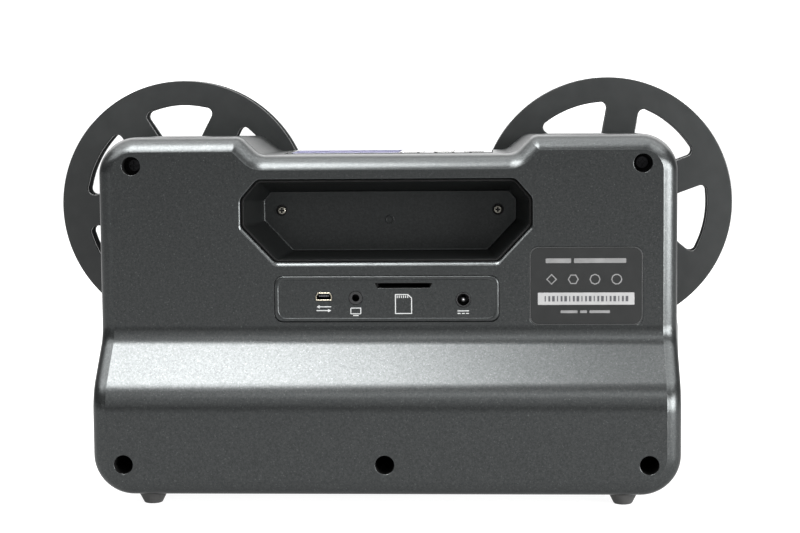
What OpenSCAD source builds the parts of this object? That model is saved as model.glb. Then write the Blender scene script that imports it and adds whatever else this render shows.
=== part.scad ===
// Film scanner for cine film on reels: a two-part casing with a carrying recess and sockets
// in its back, a film deck with a gate and rollers on its front, and controls on its top.
// Frame: +Z up, the film deck faces -Y, the sockets face +Y, and the origin lies on the
// table under the middle of the whole object. Lengths are in millimetres.

/* [Casing] */
// Width across the side walls
body_w = 275; // [270:1:300]
// Height from the underside to the top of the two shoulders
body_h = 166.8; // [165:0.2:180]
// Depth from the film deck to the upper back face
body_d = 72; // [66:1:84]
// How far the lower back stands out from the upper back
belly_d = 26; // [20:1:32]
// From the socket plate down to the bend where the upper back starts to swell
belly_top = 6.5; // [6:0.1:8]
// Height of the swelling between its two bends
belly_bottom = 24; // [20:0.5:28]
// Bend radius of the swelling
belly_r = 9; // [4:0.5:11]
// Wall thickness of both casing halves
wall = 2.5; // [2:0.1:3]
// Depth of the rear half at its upper edge
rear_d = 14; // [12:0.5:16]
// Radius of the upper corners
top_r = 17; // [14:0.5:19]
// Radius of the lower corners
bottom_r = 19; // [14:0.5:22]
// Width of the rounded rim round the back face
rim_w = 6.5; // [5:0.1:6.6]
// Depth of the rounded rim round the back face
rim_d = 7; // [5:0.1:8]
// Radius of the rounded edge round the front face
front_r = 4; // [3:0.1:4.2]
// Depth of the dip between the shoulders
dip_h = 8.8; // [7:0.1:10]
// Half width of the flat floor of the dip, at the parting line
dip_x = 58; // [56:0.5:62]
// Fillet radius of the shoulders
shoulder_r = 7; // [7:0.5:8]
// Slope of the shoulders, in degrees
shoulder_a = 45; // [40:1:55]
// How far the shoulders close in towards the front
shoulder_in = 4; // [0:0.5:5]
// How far the sides of the front half swell at mid height
hip = 7; // [0:0.5:9]
// Height of the feet
foot_h = 5.5; // [4:0.1:8]
// Radius of a foot at its top
foot_r = 7; // [6:0.1:8]
// Distance of the feet from the sides
foot_x = 26.5; // [24:0.5:36]

/* [Carrying recess] */
// Half width at the back face
grip_x = 69; // [60:0.5:72]
// From the floor of the dip down to the recess
grip_z = 11.5; // [11:0.1:13]
// Height of the opening
grip_h = 39; // [34:0.5:40]
// Depth of the recess
grip_d = 32.5; // [24:0.5:36]
// Wall thickness of the cup
grip_t = 2; // [1.5:0.1:2.5]

/* [Sockets] */
// Half width of the socket plate
port_x = 53.2; // [50:0.1:56]
// From the recess down to the socket plate
port_z = 6.8; // [6:0.1:8]
// Height of the socket plate
port_h = 21.7; // [21:0.1:22.5]
// Sideways place of the data socket
usb_x = 29.8; // [26:0.1:32]
// Sideways place of the video jack
av_x = 14.6; // [12.5:0.1:17]
// Sideways place of the card slot
card_x = -8.1; // [-10:0.1:-6]
// Sideways place of the power jack
dc_x = -36.4; // [-38:0.1:-34]
// From the upper edge of the socket plate down to the circuit board
board_z = 7.5; // [7.2:0.1:7.8]

/* [Reels] */
// Radius of a reel
reel_r = 63.5; // [58:0.5:66]
// Width of a reel over its flanges
reel_w = 12.6; // [12:0.1:14]
// Thickness of a flange
flange_t = 1.6; // [1.2:0.1:2]
// Outer radius of the film core
core_r = 21; // [18:0.5:24]
// Radius of the reel's centre hole
reel_bore = 6.35; // [6:0.05:6.6]
// Number of windows in a flange
windows = 6; // [4:1:6]
// Width of the spokes between the windows
spoke_w = 16; // [12:0.5:18]
// Inner radius of the windows
window_in = 26; // [25:0.5:30]
// Outer radius of the windows
window_out = 51; // [46:0.5:54]
// Distance of the reel axes from the sides
reel_x = 30; // [29:0.5:33.5]
// From the top of the shoulders down to the reel axes
reel_z = 36.5; // [35.5:0.1:40]
// Gap between the deck and a reel
reel_gap = 3.5; // [3:0.1:5]
// Rest angle of the supply reel's spokes
supply_turn = 40; // [0:1:59]
// Rest angle of the take-up reel's spokes
takeup_turn = 57; // [0:1:59]

/* [Film path] */
// Height of the film in the gate above the underside
gate_z = 56.5; // [55:0.5:60]
// Half width of the gate
gate_x = 34; // [32:0.5:38]
// How far the gate stands out from the deck
gate_d = 15.5; // [15:0.1:16]
// Gap for the film in the gate
film_gap = 1.4; // [1:0.1:2]
// Radius of a roller's running face
roller_r = 6; // [5:0.1:7]
// Radius of a roller's pin
pin_r = 2; // [1.5:0.1:2.5]
// Distance of the outer rollers from the sides
roller_x1 = 25.5; // [22:0.5:31]
// From the reels' lower edge down to the outer rollers
roller_z1 = 18.8; // [16:0.2:22]
// Distance of the low rollers from the outer ones
roller_x2 = 28; // [22:0.5:34]
// From the outer rollers down to the low ones
roller_z2 = 18; // [14:0.5:22]
// Distance of the rollers beside the gate from its ends
roller_x3 = 16; // [14:0.5:22]

/* [Controls] */
// Width of the control panel
panel_w = 100; // [98:1:101]
// Depth of the control panel
panel_d = 44; // [42:1:48]
// Width of the screen glass
screen_w = 52; // [46:1:52]
// Depth of the screen glass
screen_d = 39; // [34:1:40]
// Width of a key
key_w = 9.6; // [8:0.1:10]
// Depth of a key
key_d = 8; // [7:0.1:10]
// Spacing of the two rows of keys
key_pitch = 16; // [14:0.1:18]
// Travel of a key
key_travel = 0.8; // [0.5:0.1:1]

/* [Hidden] */
$fn = 48;
clear = 0.2;        // gap round a piece that drops into its seat
run = 0.05;         // radial running clearance of a shaft in its bore
eps = 0.5;          // overrun of a cutting form
skin = 0.01;        // thickness of a form that only bounds a hull
deck_t = 1.6;       // film deck plate
deck_margin = 6;    // rim of the casing left bare round the deck
steps = 4;          // facets of a corner arc
rim_steps = 4;      // facets of the rim

// Spindle and lock
shaft_r = 4;        // shaft in its bush
seat_r = reel_bore - clear;
shoulder_flange_r = 11;
lock_t = 4.4;       // thickness of the locking lever
lock_l = 10.5;      // reach of the locking lever from its pivot
lock_gap = 0.4;
ear_l = 4;          // spindle beyond the lever's pivot
trunnion_r = 1.2;
trunnion_in = 0.8;  // stub pins end this far inside the ears
key_rib = 2.4;      // drive rib of a spindle
rib_h = 1.3;
rib_in = 4;         // ribs end this far inside the reel's front
reach = reel_gap + reel_w + lock_gap + lock_t / 2 + ear_l;

// Depth levels, from the back to the front
total_d = belly_d + body_d + reach;
y_low = total_d / 2;
y_up = y_low - belly_d;
y_part = y_up - rear_d;
y_deck = y_up - body_d;
y_wall = y_deck + deck_t;
y_in = y_wall + wall;
y_reel = y_deck - reel_gap;
y_lock = y_reel - reel_w - lock_gap - lock_t / 2;
y_tip = y_deck - reach;
y_film = y_reel - reel_w / 2;
y_gate = y_deck - gate_d;

// Height levels, from the shoulders down the back
z_bot = foot_h;
z_top = z_bot + body_h;
z_dip = z_top - dip_h;
z_grip = z_dip - grip_z - grip_h;
z_port = z_grip - port_z - port_h;
z_bend1 = z_port - belly_top;
z_bend2 = z_bend1 - belly_bottom;
z_board = z_port + port_h - board_z;

// Reel axes, and the film in the gate
x_reel = body_w / 2 - reel_x;
z_reel = z_top - reel_z;
z_gate = z_bot + gate_z;

// Bends of the swelling
bend_a = atan2(belly_d, belly_bottom);
bend_t = belly_r * tan(bend_a / 2);

// Casing screws: three along the foot of the back, two in its upper corners
bore_r = 4.4;       // deep hole for the screw's head
boss_t = 2.1;       // wall of a screw boss
screw_r = 1.5;
head_r = 2.8;
head_h = 2.2;
cross_l = 4;        // cross slot in a screw's head
cross_w = 0.8;
cross_d = 0.9;
screw_l = 12;
seat_t = 2.5;       // floor of the deep hole
screw_in = 16.5;    // upper screws, from the side
screw_down = 13.3;  // upper screws, from the top
low_screw_in = 15;
low_screw_up = 15;
screws = [
    [body_w / 2 - screw_in, z_top - screw_down, y_up],
    [screw_in - body_w / 2, z_top - screw_down, y_up],
    [body_w / 2 - low_screw_in, z_bot + low_screw_up, y_low],
    [low_screw_in - body_w / 2, z_bot + low_screw_up, y_low],
    [0, z_bot + low_screw_up, y_low]];

// Film path: outer roller, low roller, roller beside the gate
roller_out = [body_w / 2 - roller_x1, z_reel - reel_r - roller_z1];
roller_places = [roller_out, roller_out - [roller_x2, roller_z2], [gate_x + roller_x3, z_gate - roller_r]];
roller_flange = 2;      // height of a roller's flanges over its running face
roller_side = 1.4;      // thickness of a roller's flange
film_w = 8;
film_play = 0.4;
groove_w = film_w + film_play;
roller_w = groove_w + 2 * roller_side;
post_head = 1.5;
post_head_r = pin_r + 1.6;
post_foot_r = pin_r + 2;
y_roller = y_film - roller_w / 2;   // front of the rollers

// Gate, mirror and camera
gate_h = 24;            // lower block of the gate
lamp_h = 21;            // lamp housing over the gate
lamp_in = 8;            // lamp housing, from the gate's end
lamp_x = gate_x - lamp_in;
lamp_z0 = z_gate + film_gap / 2;
mirror_s = 9.6;
mirror_t = 1.5;
mirror_x = 7;           // half width of the light shaft
mirror_play = 0.3;
shaft_y = 4.6;          // half depth of the light shaft
shaft_down = 5.2;       // foot of the light shaft, under the optical axis
shaft_roof = 4;         // block left over the light shaft
frame_x = 3.4;          // half width of the picture frame
frame_y = 2.6;          // half depth of the picture frame
optic_drop = 14;        // optical axis under the film
z_optic = z_gate - optic_drop;
door_t = 3.2;
door_gap = 0.4;
door_in = 4;            // door, from the gate's end
door_r = 3;
door_top = 4;           // door, from the top of the lamp housing
tab_x = 9;              // half width of the door's finger tab
tab_t = 2.4;
tab_h = 3;
tab_down = 1;           // finger tab, from the top of the door
hinge_r = 2.8;
hinge_pin_r = 1.25;
hinge_gap = 0.6;        // hinge, from the foot of the gate
knuckle_l = 7.7;        // knuckle at either end of the gate
knuckle_gap = 0.3;
z_hinge = z_gate - gate_h + hinge_r + hinge_gap;
y_hinge = y_gate - door_gap - hinge_r;
door_x = gate_x - door_in;
door_foot = z_hinge + hinge_r + hinge_gap;
z_door = lamp_z0 + lamp_h - door_top;

// Film claw, its cam and its motor
claw_x = 24;
claw_w = 3;             // claw arm, square
claw_t = 3;             // carriage
claw_l = 16;
claw_h = 9.6;
claw_floor = 0.8;       // carriage left under the yoke
claw_travel = 2.1;      // each way from the middle
claw_play = 0.4;        // gap beside the arm at the end of its travel
tooth_w = 1.2;
tooth_t = 1.4;
tooth_y = 2.4;          // tooth, behind the film's middle
tooth_up = 0.3;         // tooth over the film
yoke_h = 7.2;
yoke_play = 0.2;
guide_l = 20;
guide_t = 1.4;
cam_drop = 6.5;         // cam axis under the film
cam_z = z_gate - cam_drop;
cam_r = 6;
cam_t = 3;
cam_pin = 1;
cam_throw = claw_travel;
y_claw = y_in + clear;
y_cam = y_claw + claw_t + clear;
y_claw_motor = y_cam + cam_t + eps;
claw_motor_r = 10;
claw_motor_l = 16;
claw_ear_l = 32;        // mounting ears of the claw motor
claw_ear_w = 8;
claw_ear_t = 1.2;
claw_post = 13;         // posts of the claw motor, from its axis
claw_posts = [for (s = [-1, 1]) [claw_x, cam_z + s * claw_post]];

// Take-up drive
pulley_r = 13;
drive_r = 5;
belt_t = 2;
belt_w = 2.6;
belt_gap = 0.3;
pulley_lip = 2.5;
pulley_side = 1;
pulley_w = belt_w + 2 * belt_gap + 2 * pulley_side;
drive_in = 7.5;         // motor axis, from the reel axis
drive_down = 40;
drive_x = x_reel - drive_in;
drive_z = z_reel - drive_down;
pulley_back = 10;       // front of the pulleys, from the front wall
y_pulley = y_in + pulley_back;
y_groove = y_pulley + pulley_side;
motor_gap = 1.5;
y_motor = y_pulley + pulley_w + motor_gap;
motor_r = 12;
motor_l = 28;
motor_shaft = 1;
post_r = 2.2;
motor_post = [10, -4];  // posts of the motor, from its axis
motor_posts = [for (s = [-1, 1]) [drive_x + s * motor_post[0], drive_z + motor_post[1]]];

// Sockets and board
board_t = 1.6;
board_d = 41;           // circuit board, front to back
board_in = 3.2;         // circuit board, from the ends of the socket plate
board_gap = 0.5;
y_board = y_up - wall - board_gap;  // rear edge of the board
chip_s = 10;
chip_t = 1.4;
chip_in = 2;            // chips, from the board's front edge
chip_xs = [-30, 8, 33];
rail_w = 5.5;           // rails under the ends of the board
rail_in = 3.5;
rail_d = 14;
rail_h = 3;
usb_w = 7.7;
usb_h = 3.8;
usb_d = 9;
usb_cut = 1;            // slanted upper corners of the data socket
usb_rise = 1.6;
usb_t = 0.35;
usb_floor = 0.6;
usb_drop = 0.3;
usb_foot = 5;
tongue_w = 4.8;
tongue_t = 0.9;
tongue_low = 0.2;
tongue_in = 1;
av_r = 3.1;
av_rise = 0.3;          // collar of the video jack, over the board's underside
jack_bore = 1.8;
jack_d = 15;            // depth of both round jacks
jack_floor = 1.5;
jack_gap = 0.3;         // jack bodies, from the socket plate
dc_r = 3.4;
dc_drop = 0.4;
dc_box = 4.5;           // half width of the power jack's body
dc_t = 0.5;
dc_well = 11;
dc_pin = 1;
dc_pin_in = 1;
card_w = 24.6;
card_gap = 2.4;         // height of the card slot
card_rise = 0.2;
card_d = 27.2;
card_t = 1.6;
card_roof = 0.5;
card_floor = 1;
slot_play = 0.8;
z_usb = z_board - usb_drop - usb_h / 2;
z_av = z_board - av_r + av_rise;
z_dc = z_board - dc_r - dc_drop;
z_card = z_board + board_t + card_rise + card_gap / 2;
port_rise = 0.6;        // socket plate stands proud of the back
port_seat = 1.5;
port_ledge = 9.5;       // ledge behind the ends of the socket plate
port_lap = 1.5;         // ledge along the socket plate
plate_r = 4;            // corners of the socket plate and the rating plate
socket_in = 0.1;        // sockets end this far inside the plate's face
label_w = 53;
label_h = 36.9;
label_gap = 14.6;       // rating plate, from the socket plate
label_down = 1.75;
label_x = -(port_x + label_gap + label_w / 2);
label_z = z_port - label_down + label_h / 2;
label_t = 0.3;

// Controls
panel_t = 2;
panel_rise = 0.3;
panel_ledge = 2;
y_panel = (y_wall + y_part) / 2;
z_panel = z_dip + panel_rise;
z_under = z_panel - panel_t;        // underside of the panel
screen_in = 3;
screen_x = panel_w / 2 - screen_w / 2 - screen_in;
screen_t = 1.2;
screen_lap = 1.5;       // ledge under the screen glass
lcd_t = 3.4;
key_rise = 0.4;
key_flange = 0.8;
key_lap = 0.7;          // flange of a key, round it
key_in = 1.5;           // keys' field, from the panel's end
key_step = (panel_w - screen_w - screen_in - key_in) / 3;
key_x0 = key_in - panel_w / 2 + key_step / 2;
key_gap = 0.9;          // from a key's flange to its switch, over its travel
switch_h = 2;
switch_r = 2.2;
switch_gap = 0.3;
z_keyboard = z_under - key_flange - key_travel - key_gap - switch_h;
keyboard_d = 34;
panel_post_r = 1.2;
panel_post_in = 2;

shell_colour = [0.27, 0.28, 0.28];
black = [0.06, 0.06, 0.065];
steel = [0.72, 0.72, 0.74];
brass = [0.75, 0.62, 0.3];
board_colour = [0.05, 0.3, 0.16];

// Points of an arc round c, both ends included
function arc(c, r, a0, a1, n) =
    [for (i = [0:n]) let (a = a0 + (a1 - a0) * i / n) c + r * [cos(a), sin(a)]];
function unit(v) = v / norm(v);
function flip(v) = [for (i = [len(v) - 1:-1:0]) v[i]];
function mid(c, w) = [c - w / 2, c + w / 2];

// Outline p with each corner rounded to radius r; a corner of under 20 degrees is left as it is
straight = 80;
function rounded(p, r, n = 4) = [for (i = [0:len(p) - 1]) each
    let (a = unit(p[(i + len(p) - 1) % len(p)] - p[i]), b = unit(p[(i + 1) % len(p)] - p[i]),
         half = acos(max(-1, min(1, a * b))) / 2)
    half > straight ? [p[i]] : let (c = p[i] + unit(a + b) * r / sin(half),
        from = p[i] + a * r / tan(half) - c, to = p[i] + b * r / tan(half) - c)
        [for (k = [0:n]) c + r * unit(from * (1 - k / n) + to * k / n)]];
function rectangle(x, z, w, h) =
    [[x - w / 2, z - h / 2], [x + w / 2, z - h / 2], [x + w / 2, z + h / 2], [x - w / 2, z + h / 2]];

// Depth of the back face at height z: flat, then the swelling with its two bends, then flat
function back_y(z) =
    z >= z_bend1 + bend_t ? y_up :
    z >= z_bend1 - bend_t * cos(bend_a)
        ? y_up + belly_r - sqrt(belly_r ^ 2 - (z_bend1 + bend_t - z) ^ 2) :
    z >= z_bend2 + bend_t * cos(bend_a) ? y_up + (z_bend1 - z) * tan(bend_a) :
    z >= z_bend2 - bend_t ? y_low - belly_r + sqrt(belly_r ^ 2 - (z - z_bend2 + bend_t) ^ 2) : y_low;

// Heights at which the side walls have points: the two bends, and a few above them
bend_zs = concat(
    [for (i = [0:steps]) z_bend2 - bend_t + belly_r * sin(bend_a * i / steps)],
    [for (i = [steps:-1:0]) z_bend1 + bend_t - belly_r * sin(bend_a * i / steps)]);
side_zs = concat(bend_zs, [for (f = [0.25, 0.5, 0.75]) z_bend1 + bend_t
    + f * (z_top - top_r - z_bend1 - bend_t)]);

// Sideways shift between the two fillets of a shoulder
shoulder_run = (2 * shoulder_r * (1 - cos(shoulder_a)) + dip_h * cos(shoulder_a)) / sin(shoulder_a);
// Swell of the front half's sides at height z, as a share of hip
hip_up = 12;    // widest place of the swell, over the lower bend
hip_w = 24;
function swell(z) = exp(-((z - z_bend2 - hip_up) / hip_w) ^ 2);

// Right half of the casing's outline, from the middle of the foot to the middle of the dip,
// drawn in by inset; flare is 0 at the parting line and 1 at the front face
function half_outline(inset, flare = 0) = concat(
    [for (p = concat(
        arc([body_w / 2 - bottom_r, z_bot + bottom_r], bottom_r - inset, -90, 0, steps),
        [for (z = side_zs) [body_w / 2 - inset, z]],
        arc([body_w / 2 - top_r, z_top - top_r], top_r - inset, 0, 90, steps)))
        [p[0] + flare * hip * swell(p[1]), p[1]]],
    let (x = dip_x - flare * shoulder_in) concat(
        arc([x + shoulder_run, z_top - shoulder_r], shoulder_r - inset, 90, 90 + shoulder_a, steps),
        arc([x, z_dip + shoulder_r], shoulder_r + inset, 270 + shoulder_a, 270, steps)));
function outline(inset, flare = 0) = let (h = half_outline(inset, flare))
    concat(h, flip([for (p = h) [-p[0], p[1]]]));
n_half = len(half_outline(0));
n_ring = 2 * n_half;
n_side = steps + len(side_zs);  // last point of a half outline below the upper corner

// Faces of a ring's closed end, each convex: stripes up to the upper corners, then both shoulders and
// the part under the dip; first is the index of the ring's first point
function end_faces(first) = let (n = n_ring, s = n_side, c = n_half - steps - 1, right = first + s,
        left = first + n - 1 - s) concat(
    [for (i = [0:s - 1]) [first + i, first + i + 1, first + n - 2 - i, first + n - 1 - i]],
    [[for (i = [s:c]) first + i], [for (i = [n - 1 - c:n - 1 - s]) first + i]],
    [for (i = [c:n_half - 2]) [right, first + i, first + i + 1]],
    [for (i = [c:n_half - 2]) [left, first + n - 2 - i, first + n - 1 - i]],
    [[right, first + n_half - 1, first + n_half, left]]);
function side_faces(first, rings) = [for (j = [0:rings - 2], i = [0:n_ring - 1])
    let (a = first + j * n_ring + i, b = first + j * n_ring + (i + 1) % n_ring)
    each [[a, b, b + n_ring], [a, b + n_ring, a + n_ring]]];
function turned(faces) = [for (f = faces) flip(f)];

// Open shell between two sets of rings that follow each other towards +Y; it is open at their first
// rings, or else at their last
module shell(outer, inner, open_first) {
    n = n_ring;
    start = len(outer) * n;
    outer_last = start - n;
    inner_last = start + (len(inner) - 1) * n;
    edge = [for (i = [0:n - 1]) let (k = (i + 1) % n)
        open_first ? [start + i, start + k, k, i]
                   : [outer_last + i, outer_last + k, inner_last + k, inner_last + i]];
    ends = open_first ? concat(end_faces(outer_last), turned(end_faces(inner_last)))
                      : concat(turned(end_faces(0)), end_faces(start));
    polyhedron([for (r = concat(outer, inner)) each r],
        concat(side_faces(0, len(outer)), turned(side_faces(start, len(inner))), ends, edge), 3);
}
function flat_ring(y, inset, flare = 0) = [for (p = outline(inset, flare)) [p[0], y, p[1]]];
function back_ring(drop, inset) = [for (p = outline(inset)) [p[0], back_y(p[1]) - drop, p[1]]];
function flare_at(y) = (y_part - y) / (y_part - y_wall);

// Basic forms
module box(x, y, z) {
    translate([x[0], y[0], z[0]]) cube([x[1] - x[0], y[1] - y[0], z[1] - z[0]]);
}
module rod_y(x, z, r, y0, y1) {
    translate([x, y1, z]) rotate([90, 0, 0]) cylinder(r = r, h = y1 - y0);
}
module rod_x(y, z, r, x0, x1) {
    translate([x0, y, z]) rotate([0, 90, 0]) cylinder(r = r, h = x1 - x0);
}
module prism_y(points, y0, y1) {
    translate([0, y1, 0]) rotate([90, 0, 0]) linear_extrude(y1 - y0) polygon(points);
}
module both_sides() {
    children();
    mirror([1, 0, 0]) children();
}

// Rear half of the casing
rim_end = 72;   // angle at which the rim meets the back face with a fine edge
function rim_ring(i) = let (a = rim_end * i / rim_steps)
    back_ring(rim_d * (1 - sin(a) / sin(rim_end)), rim_w * (1 - cos(a)) / (1 - cos(rim_end)));
module rear_shell() {
    shell(concat([flat_ring(y_part, 0)], [for (i = [0:rim_steps]) rim_ring(i)]),
        [flat_ring(y_part, wall), back_ring(rim_d, wall), back_ring(wall, wall + rim_w / 2)], true);
}
module board_rails() {
    x1 = port_x - rail_in;
    both_sides() box([x1 - rail_w, x1], [y_up - rail_d, y_up - wall + eps], [z_board - rail_h, z_board]);
}
module rear_cover() color(shell_colour) difference() {
    union() {
        rear_shell();
        for (s = screws) rod_y(s[0], s[1], bore_r + boss_t, y_part, s[2] - wall + eps);
        board_rails();
    }
    for (s = screws) {
        rod_y(s[0], s[1], bore_r, y_part + seat_t, s[2] + eps);
        rod_y(s[0], s[1], screw_r + clear, y_part - eps, y_part + seat_t + eps);
    }
    grip_form(clear, eps);
    prism_y(rounded(port_points(clear), plate_r), y_up - port_seat, y_up + eps);
    prism_y(rounded(port_window(), plate_r / 2), y_up - wall - eps, y_up);
    prism_y(rounded(label_points(clear), plate_r), y_up - label_t - clear, y_up + eps);
    for (x = foot_xs) foot_hole(x, foot_back_y);
}

// Front half of the casing
inner_r = 0.8;  // inner front edge, as a share of the outer edge's radius
function front_ring(i) = let (a = 90 * i / rim_steps, y = y_wall + front_r * (1 - sin(90 - a)))
    flat_ring(y, front_r * (1 - sin(a)), flare_at(y));
module front_shell() {
    y_mid = y_in + front_r;
    shell(concat([for (i = [0:rim_steps]) front_ring(i)], [flat_ring(y_part, 0)]),
        [flat_ring(y_in, wall + front_r * inner_r, flare_at(y_in)),
            flat_ring(y_mid, wall, flare_at(y_mid)), flat_ring(y_part, wall)], false);
}
module claw_guide() {
    for (z = [cam_z - claw_h / 2 - clear - guide_t, cam_z + claw_h / 2 + clear])
        box(mid(claw_x, guide_l), [y_in - eps, y_claw + claw_t - clear], [z, z + guide_t]);
}
module light_hole(y0, y1) {
    box([-mirror_x, mirror_x], [y0, y1], [z_optic - mirror_x, z_optic + mirror_x]);
}
module front_cover() color(shell_colour) difference() {
    union() {
        front_shell();
        for (s = screws) rod_y(s[0], s[1], bore_r + boss_t, y_in - eps, y_part);
        for (p = motor_posts) rod_y(p[0], p[1], post_r, y_in - eps, y_motor);
        for (p = claw_posts) rod_y(p[0], p[1], post_r, y_in - eps, y_claw_motor);
        claw_guide();
        for (x = grip_screw_xs) rod_y(x, z_grip_screw, grip_post_r, y_in - eps, y_grip - grip_t);
    }
    for (s = screws) rod_y(s[0], s[1], screw_r + run, y_part - screw_l, y_part + eps);
    for (x = [-x_reel, x_reel]) rod_y(x, z_reel, bush_r + run, y_wall - eps, y_in + eps);
    light_hole(y_wall - eps, y_in + eps);
    claw_slot(y_wall - eps, y_in + eps);
    for (x = grip_screw_xs) rod_y(x, z_grip_screw, screw_r + run, y_grip - grip_t - grip_screw_l, y_grip);
    panel_pocket();
    for (x = foot_xs) foot_hole(x, foot_front_y);
}

// Feet: each plugs into a hole in the underside
foot_plug = 4;
foot_plug_up = 0.6;
foot_tip = 4.2;
foot_back_y = y_low - rim_d - foot_r;
foot_front_y = y_wall + front_r + foot_r;
foot_xs = [foot_x - body_w / 2, body_w / 2 - foot_x];
module foot_hole(x, y) {
    translate([x, y, z_bot - eps]) cylinder(r = foot_plug + clear, h = wall + 2 * eps);
}
module rubber_feet() color(black) for (x = foot_xs, y = [foot_back_y, foot_front_y]) translate([x, y, 0]) {
    cylinder(r1 = foot_tip, r2 = foot_r, h = foot_h);
    cylinder(r = foot_plug, h = foot_h + wall + foot_plug_up);
}

// Carrying recess: an eight-sided cup with a flat floor
grip_side = 6.5;        // floor, inside the opening: at its sides, its top and its foot
grip_top = 7.5;
grip_foot = 1.9;
grip_cut = [8, 4];      // cut upper corners: at the opening, at the floor
grip_bevel = [16, 14.5];
cut_rise = 1.15;        // height of a cut corner, as a share of its width
bevel_rise = 1.06;
grip_r = [4, 3];        // rounding of the corners
grip_below = 0.3;       // lip of the cup under the back face
y_grip = y_up - grip_d; // floor of the recess
grip_screw_in = 16.2;   // screws in the floor: from the recess's sides, over its lower edge
grip_screw_up = 22.6;
grip_screw_l = 8;
grip_screw_xs = [grip_screw_in - grip_x, grip_x - grip_screw_in];
z_grip_screw = z_grip + grip_screw_up;
grip_post_r = 4;        // posts of the front half that carry the cup
// Outline of the recess, grown: deep is 0 at the opening and 1 at the floor
function grip_points(grow, deep) = let (
    x = grip_x - deep * grip_side + grow,
    top = z_grip + grip_h - deep * grip_top + grow,
    low = z_grip + deep * grip_foot - grow,
    cut = grip_cut[deep], bevel = grip_bevel[deep])
    [[x - bevel, low], [x, low + bevel * bevel_rise], [x, top - cut * cut_rise], [x - cut, top],
     [cut - x, top], [-x, top - cut * cut_rise], [-x, low + bevel * bevel_rise], [bevel - x, low]];
module grip_form(grow, over) {
    y0 = y_grip - grip_t;
    hull() {
        prism_y(rounded(grip_points(grow, 0), grip_r[0], 3), y_up + over - skin, y_up + over);
        prism_y(rounded(grip_points(grow, 1), grip_r[1], 3), y0, y0 + skin);
    }
}
module grip_cup() color(black) difference() {
    grip_form(0, -grip_below);
    hull() {
        prism_y(rounded(grip_points(-grip_t, 0), grip_r[0] - 1, 3), y_up - skin, y_up + eps);
        prism_y(rounded(grip_points(-grip_t, 1), grip_r[1] - 1, 3), y_grip, y_grip + skin);
    }
    for (x = grip_screw_xs) rod_y(x, z_grip_screw, screw_r + run, y_grip - grip_t - eps, y_grip + eps);
}
module screw(x, z, y, l) {
    y1 = y + head_h;
    rod_y(x, z, screw_r, y - l, y + eps);
    difference() {
        rod_y(x, z, head_r, y, y1);
        box(mid(x, cross_l), [y1 - cross_d, y1 + eps], mid(z, cross_w));
        box(mid(x, cross_w), [y1 - cross_d, y1 + eps], mid(z, cross_l));
    }
}
module grip_screws() color(steel)
    for (x = grip_screw_xs) screw(x, z_grip_screw, y_grip, grip_screw_l);
module cover_screws() color(steel)
    for (s = screws) screw(s[0], s[1], y_part + seat_t, screw_l - seat_t);

// Socket plate with its four openings, and the rating plate
function port_points(grow) =
    rectangle(0, z_port + port_h / 2, 2 * (port_x + grow), port_h + 2 * grow);
function port_window() =
    rectangle(0, z_port + port_h / 2, 2 * (port_x - port_ledge), port_h - 2 * port_lap);
function label_points(grow) = rectangle(label_x, label_z, label_w + 2 * grow, label_h + 2 * grow);
function usb_points(grow) = let (w = usb_w / 2 + grow, h = usb_h / 2 + grow)
    [[usb_x - w, z_usb - h], [usb_x + w, z_usb - h], [usb_x + w, z_usb + h - usb_rise],
     [usb_x + w - usb_cut, z_usb + h], [usb_x - w + usb_cut, z_usb + h], [usb_x - w, z_usb + h - usb_rise]];
module port_plate() color(shell_colour) difference() {
    y0 = y_up - port_seat - eps;
    y1 = y_up + port_rise + eps;
    prism_y(rounded(port_points(0), plate_r), y_up - port_seat, y_up + port_rise);
    prism_y(usb_points(clear), y0, y1);
    rod_y(av_x, z_av, av_r + clear, y0, y1);
    rod_y(dc_x, z_dc, dc_r + clear, y0, y1);
    box(mid(card_x, card_w + 2 * slot_play), [y0, y1], mid(z_card, card_gap));
}
module rating_plate() color(black)
    prism_y(rounded(label_points(0), plate_r), y_up - label_t - clear, y_up - clear);

// Sockets
y_socket = y_up + port_rise - socket_in;    // outer end of the sockets
y_jack = y_up - port_seat - jack_gap;       // outer end of the jacks' bodies
module usb_socket() color(steel) {
    y0 = y_up - usb_d;
    difference() {
        prism_y(usb_points(0), y0, y_socket);
        prism_y(usb_points(-usb_t), y0 + usb_floor, y_socket + eps);
    }
    z_tongue = z_usb - tongue_low;
    box(mid(usb_x, tongue_w), [y0 + eps, y_up - tongue_in], [z_tongue, z_tongue + tongue_t]);
    box(mid(usb_x, usb_w - 2 * usb_cut), [y0, y0 + usb_foot], [z_usb + usb_h / 2 - socket_in, z_board]);
}
module av_jack() color(black) difference() {
    union() {
        rod_y(av_x, z_av, av_r, y_board + clear, y_socket);
        box([av_x - av_r, av_x + av_r], [y_up - jack_d, y_jack], [z_av - av_r, z_board]);
    }
    rod_y(av_x, z_av, jack_bore, y_up - jack_d + jack_floor, y_socket + eps);
}
module dc_jack() color(black) {
    difference() {
        union() {
            rod_y(dc_x, z_dc, dc_r, y_board + clear, y_socket);
            box([dc_x - dc_box, dc_x + dc_box], [y_up - jack_d, y_jack], [z_dc - dc_box, z_board]);
        }
        rod_y(dc_x, z_dc, dc_r - dc_t, y_up - dc_well, y_socket + eps);
    }
    rod_y(dc_x, z_dc, dc_pin, y_up - dc_well - eps, y_up - dc_pin_in);
}
module card_socket() color(steel) {
    y0 = y_jack - card_d;
    z1 = z_card + card_gap / 2;
    difference() {
        box(mid(card_x, card_w + 2 * card_t), [y0, y_jack], [z_board + board_t, z1 + card_roof]);
        box(mid(card_x, card_w), [y0 + card_floor, y_up], mid(z_card, card_gap));
    }
}
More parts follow.
